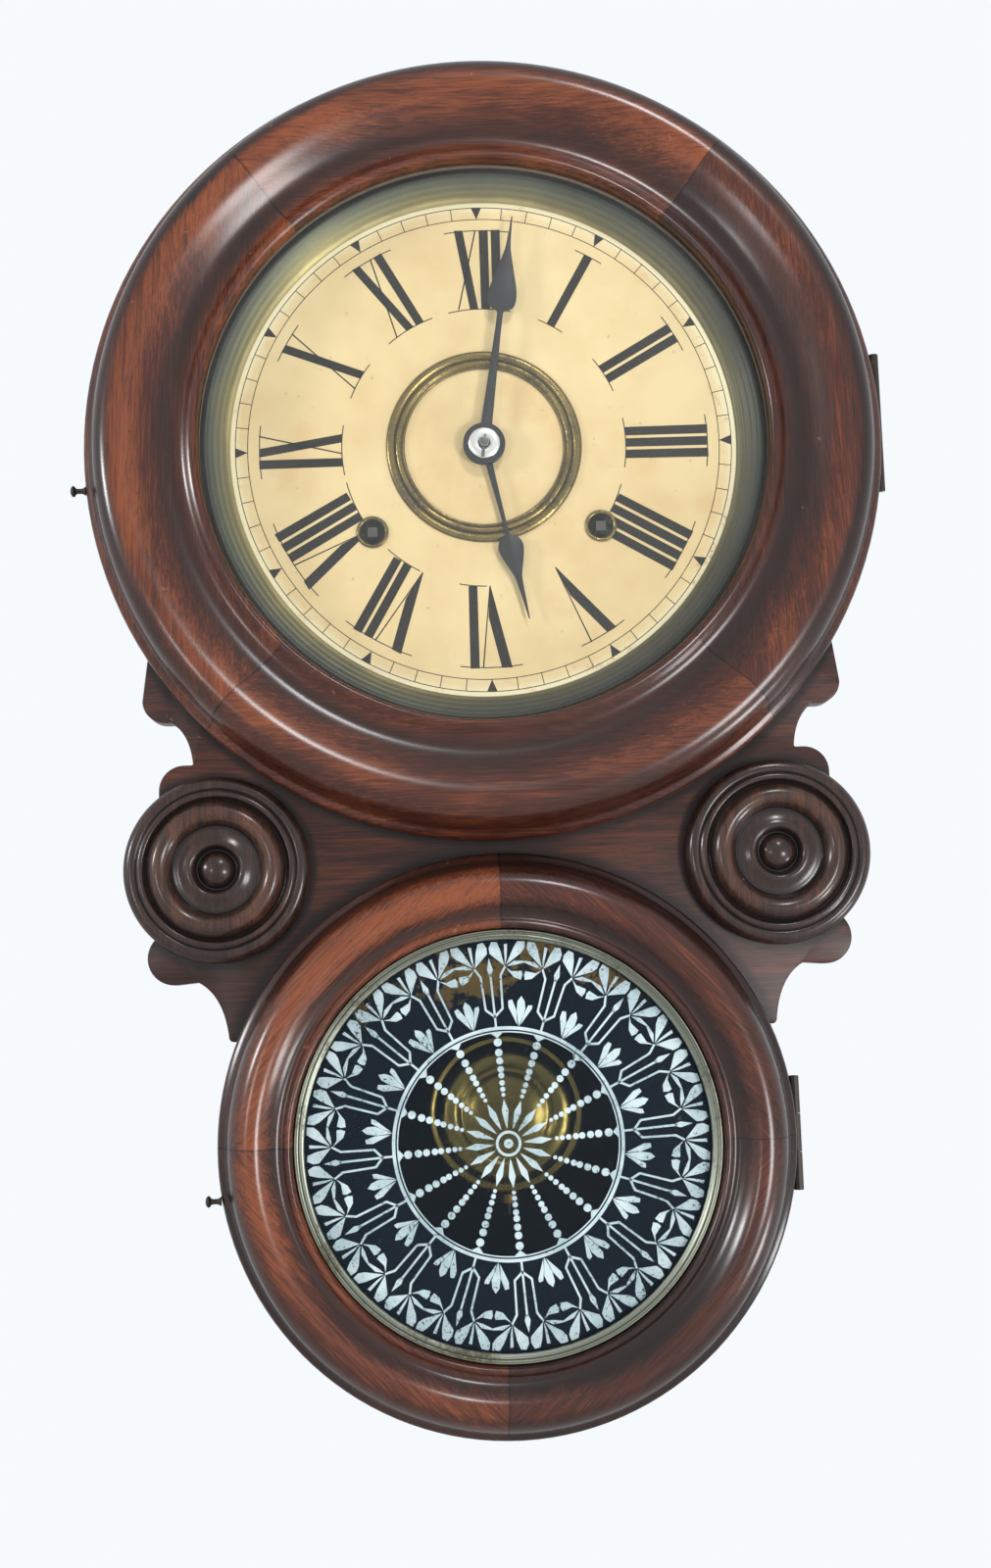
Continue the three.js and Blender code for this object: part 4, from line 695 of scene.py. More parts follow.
lowerDoor = {
    'centre': lowerCentre, 'radius': lowerRadius, 'joints': (90, 179, 268, 359.5), 'crack': 0.09, 'steps': 32,
    'staveToneAndLight': (0.12, -0.04, -0.26, -0.16),
    'back': [(88, 78.32), (lowerRadius, 78.32), (lowerRadius, 82.6)],
    'curve': [(114.1, 82.8), (113.5, 84.3), (112, 85.3), (110.6, 86.5), (109.8, 88.9), (109.2, 92.3),
              (107.8, 96), (105.6, 98.9), (102.7, 100.9), (99.4, 101.5), (96.4, 100.6), (93.8, 98.6),
              (91.6, 96.4), (89.7, 95.1), (88, 94.9), (86.7, 95.6), (85.5, 96), (84.5, 95.4),
              (83.9, 94)],
    'bore': [(83.7, 92.8), (83.7, 91.32), (88, 91.32)],
    'hinge': {'x': 114.6, 'z': -282.5, 'length': 45},
}


hingeSeat = {'depth': 78.17, 'leaf': 17.3, 'deep': 1.45, 'knuckle': 2.6, 'room': 0.3}


def hingeRecess(hinge, side):
    # room for a leaf and the knuckles, in the door (side 1) or in the board (side -1)
    middle = hingeSeat['depth']
    half = hinge['length'] / 2 + hingeSeat['room']
    low, high = hinge['z'] - half, hinge['z'] + half
    deep = middle + side * hingeSeat['deep']
    shelf = boxCutter((hinge['x'] - hingeSeat['leaf'], min(middle, deep), low),
                      (hinge['x'] + 2, max(middle, deep), high))
    room = barPiece((hinge['x'], middle, low), (hinge['x'], middle, high), hingeSeat['knuckle'], sides=20)
    return shelf, room


def doorRing(spec):
    profile = spec['back'] + softLine(spec['curve'], 3) + spec['bore']
    cx, cz = (c * mm for c in spec['centre'])
    staves = []
    for i, first in enumerate(spec['joints']):
        last = spec['joints'][(i + 1) % 4] + (360 if i == 3 else 0)
        trim = math.degrees(spec['crack'] / 2 / spec['radius'])
        stave = turnPiece(profile, spec['centre'], spec['steps'], (first + trim, last - trim))
        middle = math.radians((first + last) / 2)
        mesh = stave.data
        for layer in list(mesh.uv_layers):
            mesh.uv_layers.remove(layer)
        grain = mesh.uv_layers.new(name='grain')
        seam = mesh.attributes.new('seam', 'FLOAT', 'POINT')
        shade = mesh.attributes.new('shade', 'FLOAT', 'POINT')
        for vert in mesh.vertices:
            dx, dz = vert.co.x - cx, vert.co.z - cz
            angle = (math.degrees(math.atan2(dz, dx)) - first) % 360
            angle = angle - 360 if angle > 300 else angle
            nearest = min(abs(angle), abs(last - first - angle))
            seam.data[vert.index].value = math.radians(nearest) * math.hypot(dx, dz)
            # the stave's tone, with the right-hand staves darker as painted shade
            shade.data[vert.index].value = spec['staveToneAndLight'][i]
        for loop in mesh.loops:
            co = mesh.vertices[loop.vertex_index].co
            dx, dz = co.x - cx, co.z - cz
            along = -dx * math.sin(middle) + dz * math.cos(middle)
            across = dx * math.cos(middle) + dz * math.sin(middle)
            grain.data[loop.index].uv = (along + 1.37 * i, across + 0.41 * i)
        staves.append(stave)
    ring = joinPieces(staves)
    return cutWith(ring, *hingeRecess(spec['hinge'], 1))


for side, spec, paint in (('upper', upperDoor, upperRingPaint), ('lower', lowerDoor, lowerRingPaint)):
    placePiece(doorRing(spec), side + '_ring_wood', side + '_door', 'ring_wood', paint, side + '_door_ring')
print('door rings turned')

# the glasses lie against the rings and are held by putty
glassSeat = {'back': 89.02, 'front': 91.02, 'upper': 118.2, 'lower': 87.7}


def glassDisc(radius, centre):
    back, front = glassSeat['back'], glassSeat['front']
    return turnPiece([(0, back), (radius - 0.3, back), (radius, back + 0.3), (radius, front - 0.3),
                      (radius - 0.3, front), (0, front)], centre, 128)


def glassStop(radius, centre):
    front = glassSeat['back'] - 0.3
    inner = radius - 2.8
    curve = softLine([(inner, front - 0.2), (inner + 0.2, front - 1.4), (inner + 1, front - 2.8),
                      (inner + 2, front - 3.3)], 3)
    return turnPiece([(radius, front - 3.4), (radius, front)] + curve, centre, 128)


for side, spec, paint in (('upper', upperDoor, upperGlassPaint), ('lower', lowerDoor, lowerGlassPaint)):
    placePiece(glassDisc(glassSeat[side], spec['centre']), side + '_glass_pane', side + '_door',
               'window_glass', paint, side + '_glass')
for side, spec in (('upper', upperDoor), ('lower', lowerDoor)):
    placePiece(glassStop(glassSeat[side], spec['centre']), side + '_glass_putty', side + '_door',
               'putty', puttyFinish, side + '_glass_retainer')
tabletRing = {'outer': 83.4, 'back': 91.32,
              'curve': [(0, 1.7), (0.3, 2.1), (0.7, 2.1), (1.1, 1.6), (1.5, 1.4), (1.9, 1.7), (2.3, 1.9),
                        (2.7, 1.6), (3.1, 1.2), (3.5, 1.1), (3.8, 0.8), (4, 0.4)]}
outer, back = tabletRing['outer'], tabletRing['back']
profile = ([(outer, back)] + [(outer - s, back + rise) for s, rise in softLine(tabletRing['curve'], 2)]
           + [(outer - 4, back)])
placePiece(turnPiece(profile, lowerCentre, 144), 'tablet_brass_ring', 'lower_door', 'old_brass',
           tabletRingPaint, 'lower_brass_ring')
print('glass set')

# lobes are (x, z, radius) of the ear scrolls on the right
board = {
    'back': 66.02, 'front': 78.02, 'upper': 159.5, 'lower': 111, 'upperHole': 98, 'lowerHole': 86,
    'lobes': ((132.7, -101.4, 9), (125.4, -138.2, 10.2), (130.3, -205.3, 10.8)),
}


def boardOutline():
    one, two, three = board['lobes']
    upperEnd = math.degrees(math.atan2(one[1] + one[2] * 2.3, one[0] + one[2]))
    stepZ = -239.3
    lowerStart = math.degrees(math.asin((stepZ - lowerCentre[1]) / board['lower']))
    right = (arcLine((0, 0), board['upper'], 90, upperEnd, 72)
             + arcLine(one[:2], one[2], 0, -90, 14)
             + bendLine((130, one[1] - one[2]), (122.6, -115.5), (121.7, -128), 12)
             + arcLine(two[:2], two[2], 90, 0, 14)
             + arcLine(three[:2], three[2], 55, -90, 18)
             + bendLine((121, three[1] - three[2] + 0.8), (110.8, -221), (109.2, -238.4), 12)
             + [(108.2, stepZ)]
             + arcLine(lowerCentre, board['lower'], lowerStart, -90, 60))
    left = [(-x, z) for x, z in reversed(right[1:-1])]
    return right + left


def roundCutter(centre, radius, back, front, sides=144):
    return barPiece((centre[0], back, centre[1]), (centre[0], front, centre[1]), radius, sides=sides)


frontBoard = platePiece(boardOutline(), board['back'], board['front'], 1.1, 3)
cutWith(frontBoard, roundCutter((0, 0), board['upperHole'], 60, 82),
        roundCutter(lowerCentre, board['lowerHole'], 60, 82),
        *hingeRecess(upperDoor['hinge'], -1), *hingeRecess(lowerDoor['hinge'], -1))
placePiece(frontBoard, 'ear_board', 'case', 'board_wood', boardPaint, 'front_board')
print('front board cut')

rosette = {
    'back': 78.32,
    'profile': [(0, 85.4), (1.5, 85.3), (3.5, 84.7), (5.4, 83.6), (6.8, 82.2), (7.6, 81.4), (8.2, 81.6),
                (8.8, 83.2), (9.5, 84.9), (10.6, 85.6), (11.8, 85.4), (13.4, 84.7), (15, 84.2),
                (16.4, 84), (17.3, 83.9), (17.9, 84.8), (18.6, 86), (20.2, 87.8), (22.4, 88.8),
                (24.6, 88.3), (26.4, 86.6), (27.4, 85), (28, 84.4), (28.6, 85.1), (29.4, 86),
                (30.6, 86), (31.6, 85.3), (32, 84.9), (32.6, 85.3), (34, 85.4), (35.6, 84.7), (37, 83)],
}
profile = softLine(rosette['profile'], 3) + [(rosetteRim, 81.6), (rosetteRim, rosette['back']),
                                             (0, rosette['back'])]
rightRosette = turnPiece(profile, rosettePlace, 128)
leftRosette = copyPiece(rightRosette, Matrix.Scale(-1, 4, (1, 0, 0)))
for side, piece in (('right', rightRosette), ('left', leftRosette)):
    placePiece(piece, side + '_turned_rosette', 'case', 'rosette_wood', rosettePaint, side + '_rosette')
print('rosettes turned')

case = {'upper': 138, 'lower': 98, 'wall': 8, 'waist': 64, 'gap': 52, 'back': 9.3, 'front': 65.72,
        'boardThick': 9, 'hangerZ': 118}


def backOutline():
    waist = case['waist']
    top = math.degrees(math.asin(waist / case['upper']))
    bottom = math.degrees(math.asin(waist / case['lower']))
    return (arcLine((0, 0), case['upper'], -90 + top, 270 - top, 120)
            + arcLine(lowerCentre, case['lower'], 90 + bottom, 450 - bottom, 96))


backBoard = platePiece(backOutline(), 0, case['boardThick'], 0.6, 2)
screwPlaces = []
for i in range(9):
    angle = math.radians(-40 + 260 * i / 8)
    screwPlaces.append((134 * math.cos(angle), 134 * math.sin(angle), 47 * i))
for i in range(7):
    angle = math.radians(150 + 240 * i / 6)
    screwPlaces.append((94 * math.cos(angle), lowerCentre[1] + 94 * math.sin(angle), 61 * i))
cutWith(backBoard, boxCutter((-14.3, -1, 102.7), (14.3, 2.1, 133.3)),
        boxCutter((-7.6, -1, 106), (7.6, 10, 130)))
for x, z, turn in screwPlaces:
    cutWith(backBoard, barPiece((x, -1, z), (x, 1.5, z), 2.5, sides=32))
placePiece(backBoard, 'back_panel', 'case', 'case_wood', backPaint, 'back_board')


def hoopPiece(radius, centre, side):
    inner = radius - case['wall']
    hoop = turnPiece([(inner, case['back']), (radius - 0.5, case['back']), (radius, case['back'] + 0.5),
                      (radius, case['front'] - 0.5), (radius - 0.5, case['front']),
                      (inner, case['front'])], centre, 144)
    reach = centre[1] + side * (radius + 1)
    return cutWith(hoop, boxCutter((-case['gap'], case['back'] - 1, min(centre[1], reach)),
                                   (case['gap'], case['front'] + 1, max(centre[1], reach))))


for side, centre, way in (('upper', (0, 0), -1), ('lower', lowerCentre, 1)):
    placePiece(hoopPiece(case[side], centre, way), side + '_bent_hoop', 'case', 'case_wood', casePaint,
               side + '_hoop')

hanger = {'half': 14, 'high': 15, 'back': 0.3, 'front': 1.8, 'hole': 4.6, 'slot': 2.4}
wide, low, high = hanger['half'], case['hangerZ'] - hanger['high'], case['hangerZ'] + hanger['high']
hangerPlate = platePiece([(-wide, low), (wide, low), (wide, high), (-wide, high)],
                         hanger['back'], hanger['front'], 0.4, 2)
low = case['hangerZ'] - hanger['hole']
cutWith(hangerPlate, roundCutter((0, low), hanger['hole'], 0, 3, 48),
        boxCutter((-hanger['slot'], 0, low), (hanger['slot'], 3, low + 2.4 * hanger['hole'])),
        roundCutter((0, low + 2.4 * hanger['hole']), hanger['slot'], 0, 3, 32))
placePiece(hangerPlate, 'hanging_plate', 'case', 'brass', brassWork, 'wall_hanger')


def slottedScrew(x, z, d, radius, turn):
    # the head faces the wall side
    head = turnPiece([(0, d + 1.2), (radius * 0.6, d + 1.2), (radius, d + 0.35), (radius, d + 0.1),
                      (radius * 0.9, d), (0, d)], (x, z), 24)
    slot = boxCutter((x - 0.35, d - 0.5, z - radius - 1), (x + 0.35, d + 0.45, z + radius + 1))
    slot.data.transform(turnAbout((x, z), turn))
    return cutWith(head, slot)


screws = [slottedScrew(x, z, 0.05, 1.7, turn)
          for x, z, turn in ((-11, 129.5, 20), (11, 129.5, 75), (-11, 106.5, 140), (11, 106.5, 50))]
placePiece(joinPieces(screws), 'hanger_screws', 'case', 'steel', hingePaint)
screws = [slottedScrew(x, z, 0.15, 2.3, turn) for x, z, turn in screwPlaces]
placePiece(joinPieces(screws), 'back_screws', 'case', 'steel', hingePaint)
print('case made')

# the pulls stand at the left edge of each door: (door radius, drop, middle z)
pullSpec = {'depth': 83.32, 'upper': (upperRadius, -15.3, 0), 'lower': (lowerRadius, -18.7, lowerCentre[1])}


def doorPull(radius, drop, middle):
    surface = -math.sqrt(radius ** 2 - drop ** 2) - 0.3
    profile = softLine([(0, 6.2), (1.1, 6), (2, 5.5), (2.3, 4.9), (2, 4.4), (1.3, 3.9), (1.05, 3),
                        (1.15, 1.2), (1.7, 0.3)], 4) + [(1.9, 0), (0, 0)]
    pull = turnPiece([(r, -reach) for r, reach in profile], (0, 0), 40)
    # the turning stands along Y, so it is laid along X
    lay = Matrix.Rotation(math.radians(90), 4, 'Z')
    pull.data.transform(lay)
    if min(v.co.x for v in pull.data.vertices) > -0.003:
        pull.data.transform(Matrix.Rotation(math.radians(180), 4, 'Z'))
    pull.data.transform(Matrix.Translation((surface * mm, -pullSpec['depth'] * mm, (middle + drop) * mm)))
    return pull


for side in ('upper', 'lower'):
    placePiece(doorPull(*pullSpec[side]), side + '_turned_pull', side + '_door', 'dark_steel', hingePaint,
               side + '_door_pull')

dial = {
    'radius': 112, 'back': 78.32, 'front': 79.12, 'bush': 6.2, 'winding': ((46.75, -34.7), (-46.75, -34.7)),
    'windingHole': 5.5, 'ink': 79.15,
    'track': (96.95, 101.95), 'trackLine': 0.34, 'minute': 0.34, 'wedge': 4.3,
    'outer': 92.3, 'inner': 58.2, 'taper': 0.97, 'gap': 1.15, 'serif': 0.42, 'reach': 4.2,
}
letters = {
    'I': (3.8, [[(0, 1), (3.8, 1), (3.75, 0), (0.05, 0)]]),
    'V': (12.2, [[(0, 1), (4.3, 1), (9.1, 0.38), (8.3, 0), (7.9, 0)],
                 [(11.6, 1), (12.2, 1), (8.3, 0), (7.9, 0)]]),
    'X': (9.2, [[(0, 1), (3.6, 1), (9.2, 0), (5.6, 0)], [(8.6, 1), (9.2, 1), (1, 0), (0.4, 0)]]),
}
hours = ('I', 'II', 'III', 'IIII', 'V', 'VI', 'VII', 'VIII', 'IX', 'X', 'XI', 'XII')

back, front, edge = dial['back'], dial['front'], dial['radius']
dialPlate = turnPiece([(0, back), (edge, back), (edge, front - 0.15), (edge - 0.15, front), (0, front)],
                      (0, 0), 160)
cutWith(dialPlate, roundCutter((0, 0), dial['bush'], 77, 81, 64),
        *(roundCutter(place, dial['windingHole'], 77, 81, 64) for place in dial['winding']))
placePiece(dialPlate, 'dial_disc', 'case', 'dial_face', dialFinish, 'dial_plate')


def dialPoint(hour, shift, radius):
    angle = math.radians(30 * hour)
    return (radius * math.sin(angle) + shift * math.cos(angle),
            radius * math.cos(angle) - shift * math.sin(angle))


def serifBand(hour, low, high, radius, thick):
    points = []
    for r, order in ((radius, range(9)), (radius + thick, range(8, -1, -1))):
        for i in order:
            angle = math.radians(30 * hour) + (low + (high - low) * i / 8) / r
            points.append((r * math.sin(angle), r * math.cos(angle)))
    return points


def printDial():
    shapes = []
    top, foot, ink = dial['outer'], dial['inner'], dial['ink']
    serif, reach = dial['serif'], dial['reach']
    for hour, numeral in enumerate(hours, start=1):
        width = sum(letters[c][0] for c in numeral) + dial['gap'] * (len(numeral) - 1)
        start = -width / 2
        feet = []
        for c in numeral:
            for stroke in letters[c][1]:
                points = []
                for s, share in stroke:
                    pinch = dial['taper'] + (1 - dial['taper']) * share
                    points.append(dialPoint(hour, (start + s) * pinch, foot + (top - foot) * share))
                shapes.append(flatPiece(points, ink))
            if c != 'V':
                feet += [start * dial['taper'], (start + letters[c][0]) * dial['taper']]
            start += letters[c][0] + dial['gap']
        upperSerif = serifBand(hour, -width / 2 - reach, width / 2 + reach, top - serif, serif)
        shapes.append(flatPiece(upperSerif, ink + 0.01))
        if feet:
            footSerif = serifBand(hour, feet[0] - reach * 0.9, feet[-1] + reach * 0.9, foot, serif)
            shapes.append(flatPiece(footSerif, ink + 0.01))
    inner, outer = dial['track']
    half = dial['minute'] / 2
    tick = flatPiece([(-half, inner), (half, inner), (half, outer), (-half, outer)], ink)
    wide = dial['wedge'] / 2
    wedge = flatPiece([(0, inner), (wide, outer), (-wide, outer)], ink + 0.01)
    for minute in range(60):
        shapes.append(copyPiece(tick, turnAbout((0, 0), 6 * minute)))
        if minute % 5 == 0:
            shapes.append(copyPiece(wedge, turnAbout((0, 0), 6 * minute)))
    bpy.data.objects.remove(tick)
    bpy.data.objects.remove(wedge)
    for radius in dial['track']:
        low, high = radius - dial['trackLine'] / 2, radius + dial['trackLine'] / 2
        under = dial['front'] + 0.01
        shapes.append(turnPiece([(low, under), (low, ink), (high, ink), (high, under)], (0, 0), 180))
    return joinPieces(shapes)


placePiece(printDial(), 'dial_print', 'case', 'dial_face', inkFinish)
print('dial printed')

sight = {'inner': 104, 'outer': 114.2, 'low': 79.42, 'high': 87.1, 'slope': 8.6, 'rise': 7,
         'ridges': 4, 'ridge': 0.12}
profile = [(sight['inner'], sight['low'])]
for i in range(49):
    t = i / 48
    ridge = sight['ridge'] * math.sin(2 * math.pi * sight['ridges'] * t)
    profile.append((sight['inner'] + 0.2 + sight['slope'] * t,
                    sight['low'] + 0.5 + sight['rise'] * t ** 0.92 + ridge))
profile += [(113.6, sight['high']), (sight['outer'], sight['high'] - 0.3), (sight['outer'], sight['low'])]
placePiece(turnPiece(profile, (0, 0), 160), 'sight_band', 'case', 'old_brass', sightPaint, 'sight_ring')

centreRing = {'inner': 32.6, 'outer': 40.2, 'seat': 79.42,
              'curve': [(32.6, 79.5), (32.8, 80), (33.3, 80.15), (33.8, 79.7), (34.4, 80.15), (35.2, 80.45),
                        (36, 80.15), (36.5, 79.5), (37.1, 80.1), (38.2, 80.6), (39.4, 80.35), (40, 79.8),
                        (40.2, 79.5)]}
profile = softLine(centreRing['curve'], 3) + [(centreRing['outer'], centreRing['seat']),
                                              (centreRing['inner'], centreRing['seat'])]
placePiece(turnPiece(profile, (0, 0), 128), 'centre_band', 'case', 'brass', centreRingPaint,
           'dial_centre_ring')
grommetProfile = [(5.15, 77.4), (5.4, 77.4), (5.4, 79.4), (6.6, 79.42)] + softLine(
    [(6.6, 79.6), (6.4, 79.95), (6, 80.15), (5.55, 80.1), (5.2, 79.85)], 3) + [(5.15, 79.5)]
grommet = turnPiece(grommetProfile, dial['winding'][0], 64)
twin = copyPiece(grommet, Matrix.Scale(-1, 4, (1, 0, 0)))
for side, piece in (('right', grommet), ('left', twin)):
    placePiece(piece, side + '_hole_grommet', 'case', 'brass', centreRingPaint, side + '_winding_grommet')
print('dial rings set')

# a hand's blade is (share of the length, half width)
hands = {
    'thick': 0.8, 'hub': 8.6,
    'minute': {'length': 97, 'angle': 8.7, 'level': 83.62, 'bore': 2.3, 'stem': (2.3, 1.75, 1.25),
               'blade': [(0.572, 1.25), (0.58, 1.8), (0.588, 3.4), (0.598, 4.9), (0.615, 5.7),
                         (0.64, 5.95), (0.665, 5.75), (0.692, 5.3), (0.743, 3.95), (0.79, 2.75),
                         (0.83, 1.75), (0.865, 1.05), (0.93, 0.55)]},
    'hour': {'length': 74.7, 'angle': 167.6, 'level': 81.62, 'bore': 4.05, 'stem': (1.45, 1.05, 0.75),
             'blade': [(0.515, 0.8), (0.525, 1.9), (0.538, 3.4), (0.56, 4.6), (0.588, 5.15), (0.615, 5),
                       (0.645, 4.4), (0.67, 3.8), (0.7, 3), (0.728, 2.25), (0.771, 1.4), (0.874, 0.8)]},
}


def handPiece(spec):
    long = spec['length']
    upper = ([(s, half) for s, half in zip((8, 0.3 * long, 0.5 * long), spec['stem'])]
             + [(s * long, half) for s, half in softLine(spec['blade'], 3)] + [(long, 0.25)])
    outline = [(s, half) for s, half in upper] + [(s, -half) for s, half in reversed(upper)]
    turn = math.radians(90 - spec['angle'])
    outline = [(s * math.cos(turn) - h * math.sin(turn), s * math.sin(turn) + h * math.cos(turn))
               for s, h in outline]
    level, face, hub = spec['level'], spec['level'] + hands['thick'], hands['hub']
    blade = platePiece(outline, level, face, 0.16, 2)
    hub = turnPiece([(0, level), (hub - 0.15, level), (hub, level + 0.15), (hub, face - 0.2),
                     (hub - 0.2, face), (0, face)], (0, 0), 64)
    return cutWith(cutWith(blade, hub, operation='UNION'),
                   roundCutter((0, 0), spec['bore'], level - 1, level + 2, 48))


for kind, body in (('minute', 'centre'), ('hour', 'hour')):
    placePiece(handPiece(hands[kind]), f'spade_{kind}_hand', body, 'dark_steel', handPaint, kind + '_hand')

washer = {'level': 84.72, 'hole': 2.4, 'rim': 6.4,
          'dish': [(2.4, 0.75), (3.4, 0.95), (4.6, 0.9), (5.8, 0.6), (6.4, 0.2)]}
level = washer['level']
profile = softLine([(r, level + rise) for r, rise in washer['dish']], 3)
placePiece(turnPiece(profile + [(washer['rim'], level), (washer['hole'], level)], (0, 0), 64),
           'dished_washer', 'centre', 'steel', washerPaint, 'hand_washer')

handPin = {'turn': 82, 'level': 86.12, 'thick': -6.1, 'thin': 3.1, 'radius': 0.72, 'tip': 0.45}
turn = math.radians(handPin['turn'])
ends = [(handPin[end] * math.cos(turn), handPin['level'], handPin[end] * math.sin(turn))
        for end in ('thick', 'thin')]
pin = barPiece(*ends, handPin['radius'], handPin['tip'], 20)
bevelEdges(pin, 0.12, 2)
placePiece(smoothEdges(pin), 'taper_pin', 'centre', 'steel', pinPaint, 'hand_pin')
tip = turnPiece([(0, level + 1), (2.08, level + 1), (2.08, 86.95), (1.9, 87.2), (1.2, 87.35), (0, 87.4)],
                (0, 0), 48)
placePiece(tip, 'arbor_tip', 'centre', 'steel', pinPaint)
print('hands fitted')

# the tablet's pattern lies behind the lower glass: one spoke is made and turned round
tablet = {'depth': 88.97, 'first': 4.25, 'spokes': 16,
          'beads': ((39.4, 1.6), (35.4, 1.5), (32.2, 1.4), (28.9, 1.3), (26.5, 1.2), (23.6, 1.1),
                    (21.1, 1.0), (18.95, 0.8)),
          'rings': ((43.1, 43.6), (44.2, 45.5), (3.9, 5.0)), 'edge': 87.4, 'film': (88.9, 88.93)}


def radialShape(points, angle, radius, cuts=0):
    # points are (sideways, outwards) from a place on the spoke at this angle and radius
    line = softLine(points, cuts, loop=True) if cuts else points
    turn = math.radians(angle)
    shape = []
    for s, r in line:
        shape.append((lowerCentre[0] + (radius + r) * math.cos(turn) - s * math.sin(turn),
                      lowerCentre[1] + (radius + r) * math.sin(turn) + s * math.cos(turn)))
    return flatPiece(shape, tablet['depth'])


def tabletSpoke():
    shapes = []
    at = tablet['first']
    for radius, size in tablet['beads']:
        ring = [(size * math.cos(i * math.pi / 6), size * math.sin(i * math.pi / 6)) for i in range(12)]
        shapes.append(radialShape(ring, at, radius))
    shapes.append(radialShape([(-2.4, 0), (2.4, 0), (0, -2)], at, 43.1))
    shapes.append(radialShape([(0, 11.5), (1.35, 7), (0.5, 2), (0, 0), (-0.5, 2), (-1.35, 7)], at, 5.8))
    middle = at + 11.25
    for leaf in ([(0, 0), (1.4, 6), (1.3, 10), (0, 12), (-1.5, 10), (-2, 7)],
                 [(0.6, 0.6), (4.7, 7.2), (5, 9.8), (3.5, 10.3), (1.6, 6.5)],
                 [(-0.5, 0.6), (-4.5, 7.2), (-4.7, 8.7), (-3, 8.6), (-1.4, 4.6)]):
        shapes.append(radialShape(leaf, middle, 45.5))
    shapes.append(radialShape([(-0.42, 0), (0.42, 0), (0.42, 20.8), (-0.42, 20.8)], at, 45.5))
    shapes.append(radialShape([(-0.45, 0), (0.45, 0), (1.15, 2.2), (0, 6.9), (-1.15, 2.2)], at, 65.6))
    for side in (1, -1):
        shapes.append(radialShape([(0, -1.2), (3.75 * side, 2.1), (4.35 * side, 15.1), (6.4 * side, 18.4),
                                   (5.9 * side, 19.1), (3.55 * side, 15.5), (2.95 * side, 2.6), (0, 0)],
                                  at, 50))
        palm = ([(-0.3, 0.3), (-6, 4.9), (-6.3, 7.2), (-5.3, 9.6), (-3.1, 9.4), (-1.7, 6.1)],
                [(0, 0.3), (-0.3, 8.6), (1, 8.8), (0.7, 3.5)],
                [(0.4, 0.5), (3.5, 7.4), (5, 9.7), (7.9, 9.6), (7.8, 7), (6.3, 5)],
                [(0.7, 0), (3.5, 2), (8.1, 2), (7.6, 1.3), (3.5, 0.3)],
                [(0.3, -0.5), (2.5, -2), (6.5, -2), (6.8, -3.5), (6.1, -5.4), (3.5, -4.5)])
        for leaf in palm:
            shapes.append(radialShape([(s * side, r) for s, r in leaf], at + 5.05 * side, 69))
    return joinPieces(shapes)


spoke = tabletSpoke()
depth = tablet['depth']
spokes = [spoke] + [copyPiece(spoke, turnAbout(lowerCentre, 360 * i / tablet['spokes']))
                    for i in range(1, tablet['spokes'])]
for inner, outer in tablet['rings']:
    spokes.append(turnPiece([(inner, depth - 0.03), (inner, depth), (outer, depth), (outer, depth - 0.03)],
                            lowerCentre, 128))
spokes.append(flatPiece([(1.8 * math.cos(i * math.pi / 16), lowerCentre[1] + 1.8 * math.sin(i * math.pi / 16))
                         for i in range(32)], depth))
placePiece(joinPieces(spokes), 'tablet_pattern', 'lower_door', 'window_glass', stencilFinish)
# black paint round the ring, and inside it a thin dark film that is painted shade standing in for the dark
# inside of the case
low, high = tablet['film']
blackening = turnPiece([(43.35, low), (43.35, high), (tablet['edge'], high), (tablet['edge'], low)],
                       lowerCentre, 128)
placePiece(blackening, 'tablet_black', 'lower_door', 'window_glass', tabletBlack)
film = turnPiece([(0, low), (43.2, low), (43.2, high), (0, high)], lowerCentre, 128)
placePiece(film, 'tablet_shade_film', 'lower_door', 'window_glass', tabletShadeFilm)
print('tablet stencilled')

bob = {'z': -271.8, 'depth': 60.5, 'face': 64.9, 'rodHole': 1.05,
       'curve': [(32, 61.4), (31.4, 62.2), (30.4, 62.6), (29.4, 62.4), (28.6, 62.3), (27.4, 62.9),
                 (25.8, 63.7), (24, 64.3), (22, 64.6), (20.2, 64.3), (18.9, 63.5), (18, 62.9),
                 (17.2, 62.8), (16.2, 63.1), (14.6, 63.7), (12.8, 64.2), (10.6, 64.6), (8, 64.8),
                 (5, 64.9), (0, 64.9)]}
front = [(r, min(d, bob['face'])) for r, d in softLine(bob['curve'], 3)]
back = [(r, 2 * bob['depth'] - d) for r, d in reversed(front)]
bobPiece = turnPiece(front + back, (0, bob['z']), 128)
cutWith(bobPiece, barPiece((0, bob['depth'], bob['z'] - 40), (0, bob['depth'], bob['z'] + 40),
                           bob['rodHole'], sides=24))
placePiece(bobPiece, 'ridged_bob', 'bob', 'brass', bobPaint, 'pendulum_bob')
print('bob hung')

studioFloor = {'radius': 0.85, 'z': -0.75, 'tones': ((236, 238, 238), (242, 243, 243))}
clearSelection()
bpy.ops.mesh.primitive_circle_add(vertices=128, radius=studioFloor['radius'], fill_type='NGON',
                                  location=(0, 0, studioFloor['z']))
floor = bpy.context.object
floor.name = 'studio_floor'
floorPaint = Paint('floor paint')
grain = floorPaint.noise(floorPaint.place, 30, 4, 0.6)
floorPaint.set(colour=floorPaint.mix(grain, *studioFloor['tones']),
               rough=0.8 + grain * 0.1)
floor.data.materials.append(floorPaint.material)

light = {'ambient': 0.42, 'backdrop': (246, 250, 253)}
world = bpy.data.worlds.new('studio')
bpy.context.scene.world = world
world.use_nodes = True
desk = NodeDesk(world.node_tree)
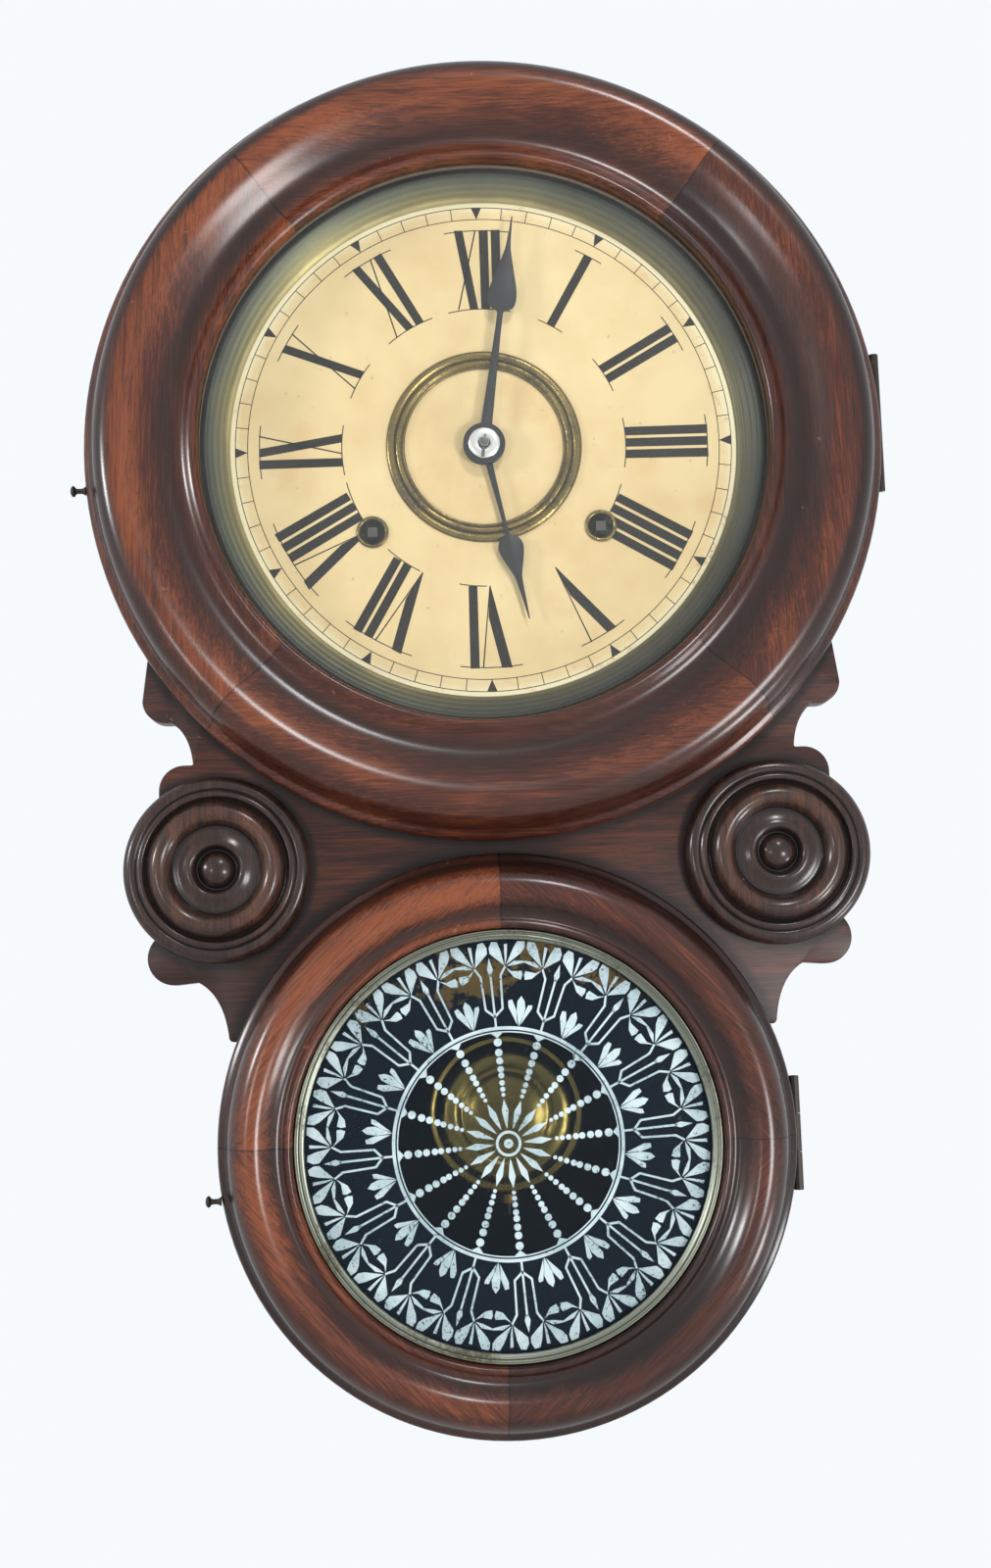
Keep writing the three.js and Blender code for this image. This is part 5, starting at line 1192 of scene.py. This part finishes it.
# the camera, reflections and the glass see the pale backdrop, and the rest gets a softer light
rays = desk.add('ShaderNodeLightPath', out='Is Camera Ray')
direct = desk.calc('MAXIMUM', rays, desk.other(rays, 'Is Glossy Ray'))
direct = desk.calc('MAXIMUM', direct, desk.other(rays, 'Is Transmission Ray'))
around = desk.add('ShaderNodeBackground', None, {'Color': (1, 1, 1, 1), 'Strength': light['ambient']})
seen = desk.add('ShaderNodeBackground', None, {'Color': tint(*light['backdrop']), 'Strength': 1})
blend = desk.add('ShaderNodeMixShader', None, {0: direct, 1: around, 2: seen})
desk.feed(world.node_tree.nodes['World Output'].inputs['Surface'], blend)


def areaLight(name, place, target, size, energy):
    clearSelection()
    bpy.ops.object.light_add(type='AREA', location=place)
    lamp = bpy.context.object
    lamp.name = name
    lamp.data.shape = 'DISK'
    lamp.data.size = size
    lamp.data.energy = energy
    lamp.rotation_euler = (Vector(target) - Vector(place)).to_track_quat('-Z', 'Y').to_euler()


middle = (0, -0.08, -0.12)
lamps = {'key_light': ((-1.75, -0.8, 0.3), middle, 0.3, 15),
         'side_light': ((0.72, -1.1, -0.42), middle, 0.34, 8),
         'low_light': ((1.0, -0.42, -0.85), middle, 0.35, 8),
         'left_light': ((-0.72, -1.15, -0.2), (0, -0.08, -0.25), 0.18, 1.6),
         'top_light': ((0.28, -1.0, 0.76), middle, 0.2, 5)}
for name, values in lamps.items():
    areaLight(name, *values)

view = {'place': (-0.018907, -0.8503, -0.22267), 'swing': -1.4, 'tilt': 96.142, 'roll': -1.969, 'lens': 44.16}
clearSelection()
bpy.ops.object.camera_add(location=view['place'])
camera = bpy.context.object
swing, tilt, roll = (math.radians(view[key]) for key in ('swing', 'tilt', 'roll'))
turn = Matrix.Rotation(swing, 4, 'Z') @ Matrix.Rotation(tilt, 4, 'X') @ Matrix.Rotation(roll, 4, 'Z')
camera.rotation_euler = turn.to_euler()
camera.data.sensor_fit = 'VERTICAL'
camera.data.sensor_height = 36
camera.data.lens = view['lens']
camera.data.clip_start = 0.01
bpy.context.scene.camera = camera
bpy.context.scene.view_settings.view_transform = 'Standard'
print('studio set')
